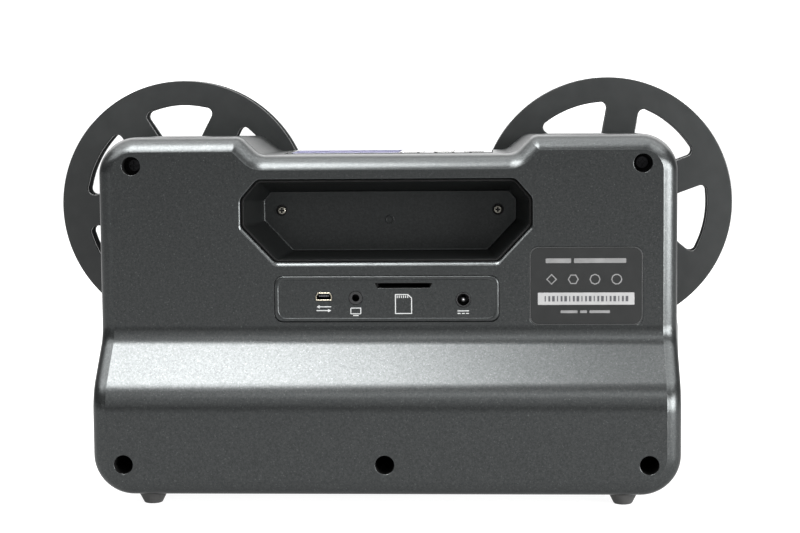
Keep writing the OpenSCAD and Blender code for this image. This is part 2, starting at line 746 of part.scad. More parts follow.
module main_board() color(board_colour) {
    y0 = y_board - board_d;
    z1 = z_board + board_t;
    box([board_in - port_x, port_x - board_in], [y0, y_board], [z_board, z1]);
    for (x = chip_xs) box(mid(x, chip_s), [y0 + chip_in, y0 + chip_in + chip_s], [z1, z1 + chip_t]);
}

// Film deck plate, with openings for the bushes, the light path and the claw
module film_deck() color(black) difference() {
    prism_y(outline(deck_margin, 1), y_deck, y_wall);
    for (x = [-x_reel, x_reel]) rod_y(x, z_reel, bush_r + run, y_deck - eps, y_wall + eps);
    light_hole(y_deck - eps, y_wall + eps);
    claw_slot(y_deck - eps, y_wall + eps);
    roller_sites() rod_y(0, 0, pin_r + run, y_deck - eps, y_wall + eps);
}

// Film rollers on their posts
module roller_sites() {
    for (p = roller_places, s = [-1, 1]) translate([s * p[0], 0, p[1]]) children();
}
module roller_posts() color(steel) roller_sites() {
    y_head = y_roller - clear;
    rod_y(0, 0, pin_r, y_head - eps, y_wall);
    rod_y(0, 0, post_foot_r, y_roller + roller_w + clear, y_deck);
    rod_y(0, 0, post_head_r, y_head - post_head, y_head);
}
module roller(i, side) color([0.8, 0.8, 0.78])
    translate([side * roller_places[i][0], 0, roller_places[i][1]]) difference() {
        union() {
            rod_y(0, 0, roller_r, y_roller, y_roller + roller_w);
            for (y = [y_roller, y_roller + roller_w - roller_side])
                rod_y(0, 0, roller_r + roller_flange, y, y + roller_side);
        }
        rod_y(0, 0, pin_r + run, y_roller - eps, y_roller + roller_w + eps);
    }

// Film gate: lower block with the mirror shaft, lamp housing over it, door in front
arm_x = claw_w / 2 + claw_travel + claw_play;   // half width of the slot for the claw's arm
arm_z = 2;
tooth_play = [2, 4.2];      // slot for the tooth, behind the film's middle
module claw_slot(y0, y1) {
    box([claw_x - arm_x, claw_x + arm_x], [y0, y1], [cam_z - arm_z, cam_z + arm_z]);
}
module gate_base() color(black) difference() {
    union() {
        box([-gate_x, gate_x], [y_gate, y_deck], [z_gate - gate_h, z_gate - film_gap / 2]);
        both_sides() {
            rod_x(y_hinge, z_hinge, hinge_r, door_x - knuckle_l, door_x);
            box([door_x - knuckle_l, door_x], [y_hinge, y_gate + eps], [z_hinge - hinge_r, z_hinge]);
        }
    }
    z_shaft = z_optic - shaft_down;
    box([-mirror_x, mirror_x], [y_film - shaft_y, y_film + shaft_y], [z_shaft, z_gate - shaft_roof]);
    box([-mirror_x, mirror_x], [y_film, y_deck + eps], [z_shaft, z_optic + mirror_x]);
    box([-frame_x, frame_x], [y_film - frame_y, y_film + frame_y], [z_gate - shaft_roof - eps, z_gate]);
    claw_slot(y_film + frame_y / 2, y_deck + eps);
    box([claw_x - arm_x, claw_x + arm_x], [y_film + tooth_play[0], y_film + tooth_play[1]], [cam_z, z_gate]);
    rod_x(y_hinge, z_hinge, hinge_pin_r + run, -gate_x, gate_x);
}
module fold_mirror() color([0.85, 0.88, 0.9]) translate([0, y_film, z_optic]) rotate([-45, 0, 0])
    box([mirror_play - mirror_x, mirror_x - mirror_play], mid(0, mirror_s), [-mirror_t, 0]);
lens_hole = [14, 4.4, 5];   // seat of the diffuser and the lamp board: half width, front, back
lamp_hole = [12.5, 3.4, 4]; // light box: half width, front, back
diffuser_t = 2;
light_h = 14;               // height of the light box
slot_h = 3;                 // slot for the lamp board
lamp_size = 3;              // lamps on the lamp board
lamp_pitch = 7;
module lamp_housing() color(black) difference() {
    y_seat = [y_film - lens_hole[1], y_film + lens_hole[2]];
    box([-lamp_x, lamp_x], [y_gate, y_deck], [lamp_z0, lamp_z0 + lamp_h]);
    box(mid(0, 2 * lens_hole[0]), y_seat, [lamp_z0 - eps, lamp_z0 + clear + diffuser_t]);
    y_light = [y_film - lamp_hole[1], y_film + lamp_hole[2]];
    z_light = lamp_z0 + light_h;
    box(mid(0, 2 * lamp_hole[0]), y_light, [lamp_z0, z_light]);
    box(mid(0, 2 * lens_hole[0]), [y_seat[0], y_deck + eps], [z_light - slot_h, z_light]);
}
module diffuser() color([0.95, 0.95, 0.92])
    box(mid(0, 2 * (lens_hole[0] - clear)), [y_film - lens_hole[1] + clear, y_film + lens_hole[2] - clear],
        [lamp_z0 + clear, lamp_z0 + clear + diffuser_t]);
module lamp_board() color(board_colour) {
    z0 = lamp_z0 + light_h - slot_h;
    box(mid(0, 2 * (lens_hole[0] - clear)), [y_film - lens_hole[1] + clear, y_deck], [z0, z0 + board_t]);
    for (x = [-lamp_pitch, 0, lamp_pitch]) box(mid(x, lamp_size), mid(y_film, lamp_size), [z0 - 1, z0]);
}
module gate_hinge_pin() color(steel) rod_x(y_hinge, z_hinge, hinge_pin_r, -door_x, door_x);
module gate_door() color(black) {
    y1 = y_gate - door_gap;
    y0 = y1 - door_t;
    knuckle = door_x - knuckle_l - knuckle_gap;
    difference() {
        union() {
            prism_y(rounded([[-door_x, door_foot], [door_x, door_foot], [door_x, z_door], [-door_x, z_door]],
                door_r), y0, y1);
            box([-knuckle, knuckle], [y0, y1 - door_gap], [z_hinge, door_foot + eps]);
            rod_x(y_hinge, z_hinge, hinge_r, -knuckle, knuckle);
            box([-tab_x, tab_x], [y0 - tab_t, y0 + eps], [z_door - tab_down - tab_h, z_door - tab_down]);
        }
        rod_x(y_hinge, z_hinge, hinge_pin_r + run, -gate_x, gate_x);
    }
}

// Camera: lens barrel on a bracket, glass and sensor board
lens_r = 8;
lens_l = 32;
lens_back = 4;              // front of the lens barrel, from the front wall
lens_lip = 2;
glass_in = 1.5;             // lens glass, inside the barrel's radius
glass_t = 2.2;
glass_seat = 3;
aperture_in = 3;
bracket_x = 11;
bracket_z = 16;
bracket_t = 3;
bracket_in = 12;            // bracket, from the back of the barrel
sensor_s = 26;
plug_size = [8, 5, 4];      // plug on the sensor board
plug_down = 9;
y_lens = y_in + lens_back;
y_sensor = y_lens + lens_l;
module lens_barrel() color(black) difference() {
    union() {
        rod_y(0, z_optic, lens_r, y_lens, y_sensor);
        rod_y(0, z_optic, lens_r + lens_lip, y_sensor - lens_lip, y_sensor);
    }
    rod_y(0, z_optic, lens_r - glass_in, y_lens - eps, y_lens + glass_seat);
    rod_y(0, z_optic, lens_r - aperture_in, y_lens, y_sensor + eps);
}
module lens_glass() color([0.6, 0.75, 0.85])
    rod_y(0, z_optic, lens_r - glass_in - run, y_lens + glass_seat - glass_t, y_lens + glass_seat);
module camera_bracket() color(steel) {
    y0 = y_sensor - bracket_in;
    difference() {
        box([-bracket_x, bracket_x], [y0, y0 + bracket_t], [z_optic - bracket_z, z_optic + bracket_z]);
        rod_y(0, z_optic, lens_r + run, y0 - eps, y0 + bracket_t + eps);
    }
    for (z = [z_optic - bracket_z, z_optic + bracket_z - bracket_t])
        box([-bracket_x, bracket_x], [y_in, y0], [z, z + bracket_t]);
}
module sensor_board() color(board_colour) {
    y1 = y_sensor + board_t;
    box(mid(0, sensor_s), [y_sensor, y1], mid(z_optic, sensor_s));
    box(mid(0, plug_size[0]), [y1, y1 + plug_size[1]], mid(z_optic - plug_down, plug_size[2]));
}

// Film claw: a carriage in its guide, moved by a pin on the motor's cam
module claw() color(steel) {
    yoke = 2 * (cam_throw + cam_pin + claw_travel + yoke_play);
    y0 = y_film + tooth_y;
    difference() {
        box(mid(claw_x, claw_l), [y_claw, y_claw + claw_t], mid(cam_z, claw_h));
        box(mid(claw_x, yoke), [y_claw + claw_floor, y_claw + claw_t + eps], mid(cam_z, yoke_h));
    }
    box(mid(claw_x, claw_w), [y0, y_claw + eps], mid(cam_z, claw_w));
    box(mid(claw_x, tooth_w), [y0, y0 + tooth_t], [cam_z, z_gate + tooth_up]);
}
module claw_cam() color(brass) {
    rod_y(claw_x, cam_z, cam_r, y_cam, y_cam + cam_t);
    rod_y(claw_x, cam_z + cam_throw, cam_pin, y_claw + claw_floor + 2 * clear, y_cam + eps);
}
module claw_motor() color(steel) {
    rod_y(claw_x, cam_z, claw_motor_r, y_claw_motor, y_claw_motor + claw_motor_l);
    box(mid(claw_x, claw_ear_w), [y_claw_motor, y_claw_motor + claw_ear_t], mid(cam_z, claw_ear_l));
}

// Control panel in the dip, its screen and its keys
module panel_pocket() {
    w = panel_w + 2 * clear;
    d = panel_d + 2 * clear;
    box(mid(0, w), mid(y_panel, d), [z_under, z_dip + eps]);
    box(mid(0, w - 2 * panel_ledge), mid(y_panel, d - 2 * panel_ledge), [z_dip - wall - eps, z_dip]);
}
function key_place(i) = [key_x0 + key_step * (i % 3), y_panel + (i < 3 ? 1 : -1) * key_pitch / 2];
module key_blank(i, grow, z0, z1) {
    p = key_place(i);
    box(mid(p[0], key_w + 2 * grow), mid(p[1], key_d + 2 * grow), [z0, z1]);
}
module screen_blank(inset, z0, z1) {
    box(mid(screen_x, screen_w - 2 * inset), mid(y_panel, screen_d - 2 * inset), [z0, z1]);
}
keyboard_x = [key_x0 - key_step / 2, key_x0 + 2.5 * key_step];
module control_panel() color(black) {
    z_post = z_keyboard + board_t;
    difference() {
        box(mid(0, panel_w), mid(y_panel, panel_d), [z_under, z_panel]);
        for (i = [0:5]) key_blank(i, clear, z_under - eps, z_panel + eps);
        screen_blank(-clear, z_panel - screen_t, z_panel + eps);
        screen_blank(screen_lap, z_under - eps, z_panel);
    }
    for (x = [keyboard_x[0] + panel_post_in, keyboard_x[1] - panel_post_in])
        translate([x, y_panel, z_post]) cylinder(r = panel_post_r, h = z_under - z_post + clear);
}
module screen_glass() color([0.03, 0.04, 0.06]) screen_blank(0, z_panel - screen_t, z_panel);
module lcd_module() color([0.2, 0.22, 0.25])
    screen_blank(screen_lap + clear, z_panel - screen_t - lcd_t, z_panel - screen_t);
module key_board() color(board_colour) {
    z1 = z_keyboard + board_t;
    box(keyboard_x, mid(y_panel, keyboard_d), [z_keyboard, z1]);
    for (i = [0:5]) translate([key_place(i)[0], key_place(i)[1], z1])
        cylinder(r = switch_r, h = z_under - key_flange - key_travel - switch_gap - z1);
}
module key(i) color(steel) {
    z0 = z_under - clear;
    key_blank(i, 0, z0, z_panel + key_rise);
    key_blank(i, key_lap, z0 - key_flange, z0);
}

// Spindles, reels and locks
bush_r = 6;
bush_l = 6;             // bush behind the front wall
bush_flange = [2.5, 1.5];
module spindle_bushes() color(brass) for (x = [-x_reel, x_reel]) difference() {
    union() {
        rod_y(x, z_reel, bush_r, y_deck, y_in + bush_l);
        rod_y(x, z_reel, bush_r + bush_flange[0], y_in, y_in + bush_flange[1]);
    }
    rod_y(x, z_reel, shaft_r + run, y_deck - eps, y_in + bush_l + eps);
}
module at_reel(side, turn) {
    translate([side * x_reel, 0, z_reel]) rotate([0, -turn, 0]) children();
}
module ribs(r0, r1, w, y0, y1) {
    for (a = [0, 120, 240]) rotate([0, a, 0]) box([r0, r1], [y0, y1], mid(0, w));
}
module spindle(side, y_end) color(steel) at_reel(side, 0) {
    y_shoulder = y_reel + clear;
    fork = lock_t / 2 + 1.5 * clear;
    difference() {
        union() {
            rod_y(0, 0, shoulder_flange_r, y_shoulder, y_deck - clear);
            rod_y(0, 0, seat_r, y_tip, y_shoulder + eps);
            ribs(seat_r - 1, seat_r + rib_h, key_rib, y_reel - reel_w + rib_in, y_shoulder + eps);
            rod_y(0, 0, shaft_r, y_deck - clear - eps, y_end);
        }
        box([-fork, fork], [y_tip - eps, y_lock + lock_t / 2 + 2 * clear], [-seat_r - eps, seat_r + eps]);
        rod_x(y_lock, 0, trunnion_r + run, -seat_r - eps, seat_r + eps);
    }
}
module lock(side) color(black) at_reel(side, 0) {
    rod_x(y_lock, 0, lock_t / 2, -lock_t / 2, lock_t / 2);
    box(mid(0, lock_t), mid(y_lock, lock_t), [0, lock_l]);
    rod_x(y_lock, 0, trunnion_r, trunnion_in - seat_r, seat_r - trunnion_in);
}
// Window between two spokes of even width, at angle 0
window_r = 3;
function window_points() = let (
    s = 180 / windows, outer = s - asin(spoke_w / 2 / window_out), inner = s - asin(spoke_w / 2 / window_in))
    rounded(concat(arc([0, 0], window_out, -outer, outer, 8), arc([0, 0], window_in, inner, -inner, 3)),
        window_r, 3);
module key_holes(y0, y1) {
    rod_y(0, 0, reel_bore, y0, y1);
    ribs(reel_bore - 1, seat_r + rib_h + clear, key_rib + 2 * clear, y0, y1);
}
module flange(side, turn, y0) color(black) at_reel(side, turn) difference() {
    rod_y(0, 0, reel_r, y0, y0 + flange_t);
    for (i = [0:windows - 1]) rotate([0, -(i + 0.5) * 360 / windows, 0])
        prism_y(window_points(), y0 - eps, y0 + flange_t + eps);
    rotate([0, turn, 0]) key_holes(y0 - eps, y0 + flange_t + eps);
}
core_wall = 2;
core_well = 1.5;
module core(side) color(black) at_reel(side, 0) difference() {
    y0 = y_reel - reel_w + flange_t;
    rod_y(0, 0, core_r, y0, y_reel - flange_t);
    rod_y(0, 0, core_r - core_wall, y0 - eps, y0 + core_well);
    key_holes(y_reel - reel_w, y_reel);
}

// Take-up drive: a belt from the motor to the take-up spindle
module pulley(x, z, r, hub) color(black) difference() {
    union() {
        rod_y(x, z, r, y_pulley, y_pulley + pulley_w);
        for (y = [y_pulley, y_pulley + pulley_w - pulley_side])
            rod_y(x, z, r + pulley_lip, y, y + pulley_side);
    }
    rod_y(x, z, hub, y_pulley - eps, y_pulley + pulley_w + eps);
}
module belt_loop(grow) {
    hull() {
        translate([x_reel, z_reel]) circle(r = pulley_r + grow);
        translate([drive_x, drive_z]) circle(r = drive_r + grow);
    }
}
module drive_belt() color(black) translate([0, y_groove + belt_gap + belt_w, 0]) rotate([90, 0, 0])
    linear_extrude(belt_w) difference() {
        belt_loop(belt_gap + belt_t);
        belt_loop(belt_gap);
    }
module takeup_motor() color(steel) {
    rod_y(drive_x, drive_z, motor_r, y_motor, y_motor + motor_l);
    rod_y(drive_x, drive_z, motor_shaft, y_pulley + eps, y_motor + eps);
}

rear_cover();
front_cover();
film_deck();
grip_cup();
port_plate();
rating_plate();
usb_socket();
av_jack();
card_socket();
dc_jack();
cover_screws();
grip_screws();
rubber_feet();
main_board();
lens_barrel();
lens_glass();
sensor_board();
camera_bracket();
fold_mirror();
gate_base();
lamp_housing();
lamp_board();
diffuser();
gate_hinge_pin();
gate_door();
control_panel();
screen_glass();
lcd_module();
key_board();
key(0);  // key_power
key(1);  // key_up
key(2);  // key_ok
key(3);  // key_left
key(4);  // key_down
key(5);  // key_right
spindle_bushes();
spindle(-1, y_pulley + pulley_w);  // supply_spindle
flange(-1, supply_turn, y_reel - flange_t);  // supply_rear_flange
core(-1);  // supply_core
flange(-1, supply_turn, y_reel - reel_w);  // supply_front_flange
lock(-1);  // supply_lock
spindle(1, y_pulley + pulley_w);  // takeup_spindle
flange(1, takeup_turn, y_reel - flange_t);  // takeup_rear_flange
core(1);  // takeup_core
flange(1, takeup_turn, y_reel - reel_w);  // takeup_front_flange
lock(1);  // takeup_lock
pulley(x_reel, z_reel, pulley_r, shaft_r);  // takeup_pulley
drive_belt();
pulley(drive_x, drive_z, drive_r, motor_shaft + run);  // motor_pulley
takeup_motor();
claw();
claw_cam();
claw_motor();
roller_posts();
roller(0, -1);  // supply_roller_1
roller(1, -1);  // supply_roller_2
roller(2, -1);  // supply_roller_3
roller(0, 1);  // takeup_roller_1
roller(1, 1);  // takeup_roller_2
roller(2, 1);  // takeup_roller_3
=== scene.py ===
"""Looks of the film scanner: fine shells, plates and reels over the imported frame, with their finishes.

Lengths are in millimetres until a mesh is built, and in metres in Blender.
"""
from math import acos, asin, atan2, cos, degrees, exp, pi, radians, sin, sqrt, tan

import bmesh
import bpy
from mathutils import Matrix, Vector
from mathutils.geometry import tessellate_polygon


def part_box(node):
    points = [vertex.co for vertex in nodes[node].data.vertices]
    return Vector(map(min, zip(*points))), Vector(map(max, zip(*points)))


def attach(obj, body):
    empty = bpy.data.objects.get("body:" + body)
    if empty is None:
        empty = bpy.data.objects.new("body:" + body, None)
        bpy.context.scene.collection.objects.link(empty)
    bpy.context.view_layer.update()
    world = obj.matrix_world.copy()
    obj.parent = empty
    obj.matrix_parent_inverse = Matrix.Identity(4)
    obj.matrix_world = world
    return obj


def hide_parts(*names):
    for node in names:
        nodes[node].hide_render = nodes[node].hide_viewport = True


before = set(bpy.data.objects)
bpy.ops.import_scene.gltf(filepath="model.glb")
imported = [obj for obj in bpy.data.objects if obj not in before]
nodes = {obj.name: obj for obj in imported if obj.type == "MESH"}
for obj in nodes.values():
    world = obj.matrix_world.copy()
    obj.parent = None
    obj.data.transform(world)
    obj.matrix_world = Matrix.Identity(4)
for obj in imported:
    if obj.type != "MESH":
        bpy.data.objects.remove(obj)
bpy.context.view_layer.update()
scene = bpy.context.scene
MM = 0.001


def span(node):
    """Lowest and highest corner of a CAD node, in millimetres."""
    low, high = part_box(node)
    return low / MM, high / MM


def middle(node):
    """Middle of a CAD node, in millimetres."""
    return [(a + b) / 2 for a, b in zip(*span(node))]


def lengths(node):
    """Lengths of a CAD node along x, y and z, in millimetres."""
    return [b - a for a, b in zip(*span(node))]


# Sizes read from the frame
# Names end in W, H, D, T, R or A for a width, height, depth, thickness, radius or angle in degrees
REAR_LOW, REAR_HIGH = span("rear_cover")
HALF_W = REAR_HIGH.x
Z_BOT, Z_TOP = REAR_LOW.z, REAR_HIGH.z
Y_PART, Y_LOW = REAR_LOW.y, REAR_HIGH.y
PORT_RISE = 0.6
PANEL_RISE = 0.3
Y_UP = span("port_plate")[1].y - PORT_RISE
Z_DIP = span("control_panel")[1].z - PANEL_RISE
Y_WALL = span("front_cover")[0].y
Y_DECK = span("film_deck")[0].y
REEL_X = 107.5
Z_REEL = middle("supply_rear_flange")[2]

# Casing, whose sides swell by HIP and whose shoulders sink by TOP_FALL towards the front
WALL = 2.5
TOP_R = 17
BOTTOM_R = 19
RIM_W = 6.5
RIM_D = 7
RIM_END = 72
EDGE_W = 0.45
EDGE_D = 0.2
TOP_RIM_D = 13
TOP_RIM_END = 60
FRONT_R = 4
NOSE_INSIDE = 0.8
DIP_X = 58
SHOULDER_R = 7
SHOULDER_A = 45
SHOULDER_IN = 4
TOP_FALL = 1
HIP = 7
HIP_Z = Z_BOT + 60.5
HIP_W = 24
SEAM = 0.35
GAP = 0.2
FOLD_R = 13
BELLY_R = 19
Z_BEND_HIGH = Z_BOT + 71.5
Z_BEND_LOW = Z_BOT + 47.5
CORNER_STEPS = 18
FOOT_STEPS = 5
BEND_STEPS = 10
SIDE_STEPS = 12
RIM_STEPS = 12
CREASE = radians(14)

BEND_TILT = atan2(Y_LOW - Y_UP, Z_BEND_HIGH - Z_BEND_LOW)
FOLD_REACH = FOLD_R * tan(BEND_TILT / 2)
BELLY_REACH = BELLY_R * tan(BEND_TILT / 2)
BEND_TOP = Z_BEND_HIGH + FOLD_REACH
BEND_FOOT = Z_BEND_LOW - BELLY_REACH
SHOULDER_TILT = radians(SHOULDER_A)
SHOULDER_RUN = (2 * SHOULDER_R * (1 - cos(SHOULDER_TILT))
                + (Z_TOP - Z_DIP) * cos(SHOULDER_TILT)) / sin(SHOULDER_TILT)

# Corners flatter than this stay as they are when an outline is rounded
NEARLY_STRAIGHT = radians(88)


# Outlines in a plane, counter-clockwise, as lists of (u, v)
def arc(u, v, r, start, end, n):
    angles = [radians(start + (end - start) * i / n) for i in range(n + 1)]
    return [(u + r * cos(a), v + r * sin(a)) for a in angles]


def circle(u, v, r, n=48):
    return arc(u, v, r, 0, 360 - 360 / n, n - 1)


def rectangle(u, v, w, h):
    return [(u - w / 2, v - h / 2), (u + w / 2, v - h / 2), (u + w / 2, v + h / 2), (u - w / 2, v + h / 2)]


def bar(u0, v0, u1, v1, w):
    """Straight line of width w between two points."""
    a, b = Vector((u0, v0)), Vector((u1, v1))
    along = (b - a).normalized() * 0.5 * w
    across = Vector((-along.y, along.x))
    return [tuple(a - across), tuple(b - across), tuple(b + across), tuple(a + across)]


def mirrored(half):
    return half + [(-u, v) for u, v in reversed(half)]


def turned(points, angle):
    a = radians(angle)
    return [(u * cos(a) - v * sin(a), u * sin(a) + v * cos(a)) for u, v in points]


def corner(points, i, r, n):
    """Round of radius r at corner i of an outline, and how far it reaches along the two sides."""
    p = Vector(points[i])
    a = (Vector(points[i - 1]) - p).normalized()
    b = (Vector(points[(i + 1) % len(points)]) - p).normalized()
    half = acos(max(-1, min(1, a.dot(b)))) / 2
    if half > NEARLY_STRAIGHT:
        return [tuple(p)], 0
    centre = p + (a + b).normalized() * r / sin(half)
    first = p + a * r / tan(half) - centre
    last = p + b * r / tan(half) - centre
    turn = first.angle_signed(last)
    points = [tuple(centre + Matrix.Rotation(-turn * k / n, 2) @ first) for k in range(n + 1)]
    return points, r / tan(half)


def rounded(points, r, n=6):
    """The outline with each of its corners rounded to radius r."""
    return [q for i in range(len(points)) for q in corner(points, i, r, n)[0]]


def soft_plate(u, v, w, h, grow, r):
    """Rectangle that is larger by grow on each side, with rounded corners."""
    return rounded(rectangle(u, v, w + 2 * grow, h + 2 * grow), r)


def rounded_ends(points, corners, r, n=6):
    """The outline with only the named corners rounded; the neighbours within the round are left out."""
    rounds = {i: corner(points, i, r, n) for i in corners}
    out = []
    for i, p in enumerate(points):
        if i in rounds:
            out += rounds[i][0]
        elif all((Vector(p) - Vector(points[c])).length >= reach for c, (_, reach) in rounds.items()):
            out.append(p)
    return out


def grown(points, d):
    """The counter-clockwise outline moved outwards by d."""
    out = []
    for i, p in enumerate(points):
        p = Vector(p)
        a = p - Vector(points[i - 1])
        b = Vector(points[(i + 1) % len(points)]) - p
        na = Vector((a.y, -a.x)).normalized()
        nb = Vector((b.y, -b.x)).normalized()
        mid = (na + nb).normalized()
        out.append(tuple(p + mid * d / max(0.3, mid.dot(na))))
    return out


def quarter(n):
    """Steps of a quarter round of radius 1, each as 1 less its cosine and 1 less its sine."""
    angles = [pi / 2 * k / n for k in range(n + 1)]
    return [(1 - cos(a), 1 - sin(a)) for a in angles]


def profile(low, high, edge_low, edge_high, n):
    """Levels and insets of a plate's side: a quarter round, straight, a quarter round."""
    first = [(low + edge_low * c, edge_low * s) for c, s in quarter(n)] if edge_low else [(low, 0)]
    last = [(high - edge_high * c, edge_high * s) for c, s in quarter(n)] if edge_high else [(high, 0)]
    return first + last[::-1]


def lip_levels(y, r, n=5):
    """Levels and growths of a rounded lip that turns into a hole."""
    return [(y - r * c, r * s) for c, s in quarter(n)]


def placed(name, data):
    """A new object in the scene."""
    piece = bpy.data.objects.new(name, data)
    scene.collection.objects.link(piece)
    return piece


def even_normals(piece):
    smooth = piece.modifiers.new("normals", "WEIGHTED_NORMAL")
    smooth.keep_sharp = True


class Skin:
    """Points and faces of one closed mesh, in millimetres."""

    def __init__(self):
        self.points = []
        self.faces = []
        self.marks = []

    def add(self, points):
        first = len(self.points)
        self.points += [Vector(p) for p in points]
        return list(range(first, len(self.points)))

    def ring(self, outline, level, axis="y"):
        """Adds an outline at a level: along y it holds (x, z), and along z it holds (x, y)."""
        if axis == "y":
            return self.add([(u, level, v) for u, v in outline])
        return self.add([(u, v, level) for u, v in outline])

    def bridge(self, a, b, skip=()):
        n = len(a)
        self.faces += [[a[i], a[(i + 1) % n], b[(i + 1) % n], b[i]] for i in range(n) if i not in skip]

    def loft(self, rings):
        for a, b in zip(rings, rings[1:]):
            self.bridge(a, b)

    def fill(self, outline, holes=(), axis="y"):
        """Fills a flat outline, less its holes."""
        other = 2 if axis == "y" else 1
        loops = [outline, *holes]
        index = [i for loop in loops for i in loop]
        flat = [[Vector((self.points[i].x, self.points[i][other], 0)) for i in loop] for loop in loops]
        self.faces += [[index[k] for k in triangle] for triangle in tessellate_polygon(flat)]

    def plate(self, outline, low, high, holes=(), edge_low=0.0, edge_high=0.0, n=6, axis="y"):
        """A plate from low to high along the axis, with rounded edges and with holes."""
        levels = profile(low, high, edge_low, edge_high, n)
        outer = [self.ring(grown(outline, -inset), level, axis) for level, inset in levels]
        self.loft(outer)
        inner = []
        for hole in holes:
            rings = [self.ring(grown(hole, inset), level, axis) for level, inset in levels]
            self.loft(rings)
            inner.append(rings)
        self.fill(outer[0], [rings[0] for rings in inner], axis)
        self.fill(outer[-1], [rings[-1] for rings in inner], axis)

    def mark(self, first, kind=1):
        """Gives the faces made since first another of the piece's finishes."""
        self.marks += [(i, kind) for i in range(first, len(self.faces))]

    def move(self, step):
        self.points = [p + Vector(step) for p in self.points]

    def build(self, name, finish, slot, replaces=(), body="casing", crease=CREASE, others=()):
        """Makes the Blender piece, which rides on a CAD body."""
        mesh = bpy.data.meshes.new(name)
        mesh.from_pydata([p * MM for p in self.points], [], self.faces)
        for i, kind in self.marks:
            mesh.polygons[i].material_index = kind
        work = bmesh.new()
        work.from_mesh(mesh)
        bmesh.ops.remove_doubles(work, verts=work.verts, dist=1e-7)
        bmesh.ops.dissolve_degenerate(work, edges=work.edges, dist=1e-7)
        bmesh.ops.recalc_face_normals(work, faces=work.faces)
        work.to_mesh(mesh)
        work.free()
        mesh.shade_smooth()
        mesh.set_sharp_from_angle(angle=crease)
        piece = placed(name, mesh)
        for each in (finish, *others):
            mesh.materials.append(each)
        even_normals(piece)
        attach(piece, body)
        if replaces:
            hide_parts(*replaces)


# Finishes
class Finish:
    """A node material with helpers for its textures, in the object's own coordinates."""

    def __init__(self, name, **constants):
        self.material = bpy.data.materials.new(name)
        self.material.use_nodes = True
        self.tree = self.material.node_tree
        self.shader = self.tree.nodes["Principled BSDF"]
        self.coords = self.tree.nodes.new("ShaderNodeTexCoord").outputs["Object"]
        for socket, value in constants.items():
            self.shader.inputs[socket.replace("_", " ")].default_value = value

    def node(self, kind, sockets=None, **settings):
        """A new node, with its settings and with constants on some of its sockets."""
        made = self.tree.nodes.new(kind)
        for key, value in settings.items():
            setattr(made, key, value)
        for socket, value in (sockets or {}).items():
            made.inputs[socket].default_value = value
        return made

    def link(self, source, target):
        self.tree.links.new(source, target)

    def noise(self, scale, detail=2.0, stretch=None):
        made = self.node("ShaderNodeTexNoise", {"Scale": scale, "Detail": detail})
        place = self.coords
        if stretch:
            mapping = self.node("ShaderNodeMapping", {"Scale": stretch})
            self.link(place, mapping.inputs["Vector"])
            place = mapping.outputs["Vector"]
        self.link(place, made.inputs["Vector"])
        return made.outputs["Fac"]

    def cells(self, scale):
        made = self.node("ShaderNodeTexVoronoi", {"Scale": scale})
        self.link(self.coords, made.inputs["Vector"])
        return made

    def ramp(self, source, *stops):
        """Colour or grey of the source, by (place, colour) stops."""
        made = self.node("ShaderNodeValToRGB")
        elements = made.color_ramp.elements
        while len(elements) < len(stops):
            elements.new(0.5)
        for element, (place, colour) in zip(elements, stops):
            element.position = place
            element.color = (*colour, 1) if isinstance(colour, tuple) else (colour, colour, colour, 1)
        self.link(source, made.inputs["Fac"])
        return made.outputs["Color"]

    def mix(self, factor, a, b, kind="MIX"):
        made = self.node("ShaderNodeMix", data_type="RGBA", blend_type=kind)
        for socket, value in zip(("Factor", "A", "B"), (factor, a, b)):
            target = next(s for s in made.inputs
                          if s.name == socket and (socket == "Factor" or s.type == "RGBA"))
            if isinstance(value, bpy.types.NodeSocket):
                self.link(value, target)
            else:
                target.default_value = (*value, 1) if isinstance(value, tuple) else value
        return next(s for s in made.outputs if s.type == "RGBA")

    def gloss(self, source, rough, swing):
        """Roughness that swings about a value as the source does."""
        made = self.node("ShaderNodeMapRange", {"To Min": rough - swing, "To Max": rough + swing})
        self.link(source, made.inputs["Value"])
        self.link(made.outputs["Result"], self.shader.inputs["Roughness"])

    def bump(self, height, strength, depth):
        made = self.node("ShaderNodeBump", {"Strength": strength, "Distance": depth})
        self.link(height, made.inputs["Height"])
        self.link(made.outputs["Normal"], self.shader.inputs["Normal"])

    def colour(self, source):
        self.link(source, self.shader.inputs["Base Color"])


def moulded(name, dark, light, rough, grain=900, relief=0.12, depth=0.00008, **constants):
    """Moulded or printed stuff: a little mottle in its colour, a fine grain and an uneven gloss."""
    made = Finish(name, **constants)
    mottle = made.noise(180, 4)
    made.colour(made.ramp(mottle, (0.3, dark), (0.7, light)))
    made.gloss(made.noise(60, 3), rough, 0.06)
    made.bump(made.noise(grain, 3), relief, depth)
    return made.material


FLAKE = 0.42


def metallic_paint(name, dark, light, flake, rough, metal):
    """Silver-grey lacquer with fine flakes that catch the light."""
    made = Finish(name, Metallic=metal, Specular_Tint=(0.75, 0.75, 0.75, 1))
    flakes = made.cells(1 / (FLAKE * MM))
    tone = made.ramp(made.noise(900, 2), (0.35, dark), (0.65, light))
    speckle = made.ramp(flakes.outputs["Color"], (0.1, 0.8), (0.6, 1.0), (0.86, 1.1), (0.97, flake))
    made.colour(made.mix(1.0, tone, speckle, "MULTIPLY"))
    made.gloss(made.noise(700, 3), rough, 0.03)
    made.bump(made.mix(0.5, flakes.outputs["Distance"], made.noise(1500, 2)), 0.06, 0.00006)
    return made.material


def turned_metal(name, dark, light, rough):
    """Bare metal with fine drawn lines."""
    made = Finish(name, Metallic=1.0)
    lines = made.noise(300, 4, (1, 14, 1))
    made.colour(made.ramp(lines, (0.3, dark), (0.7, light)))
    made.gloss(lines, rough, 0.07)
    made.bump(lines, 0.05, 0.00003)
    return made.material


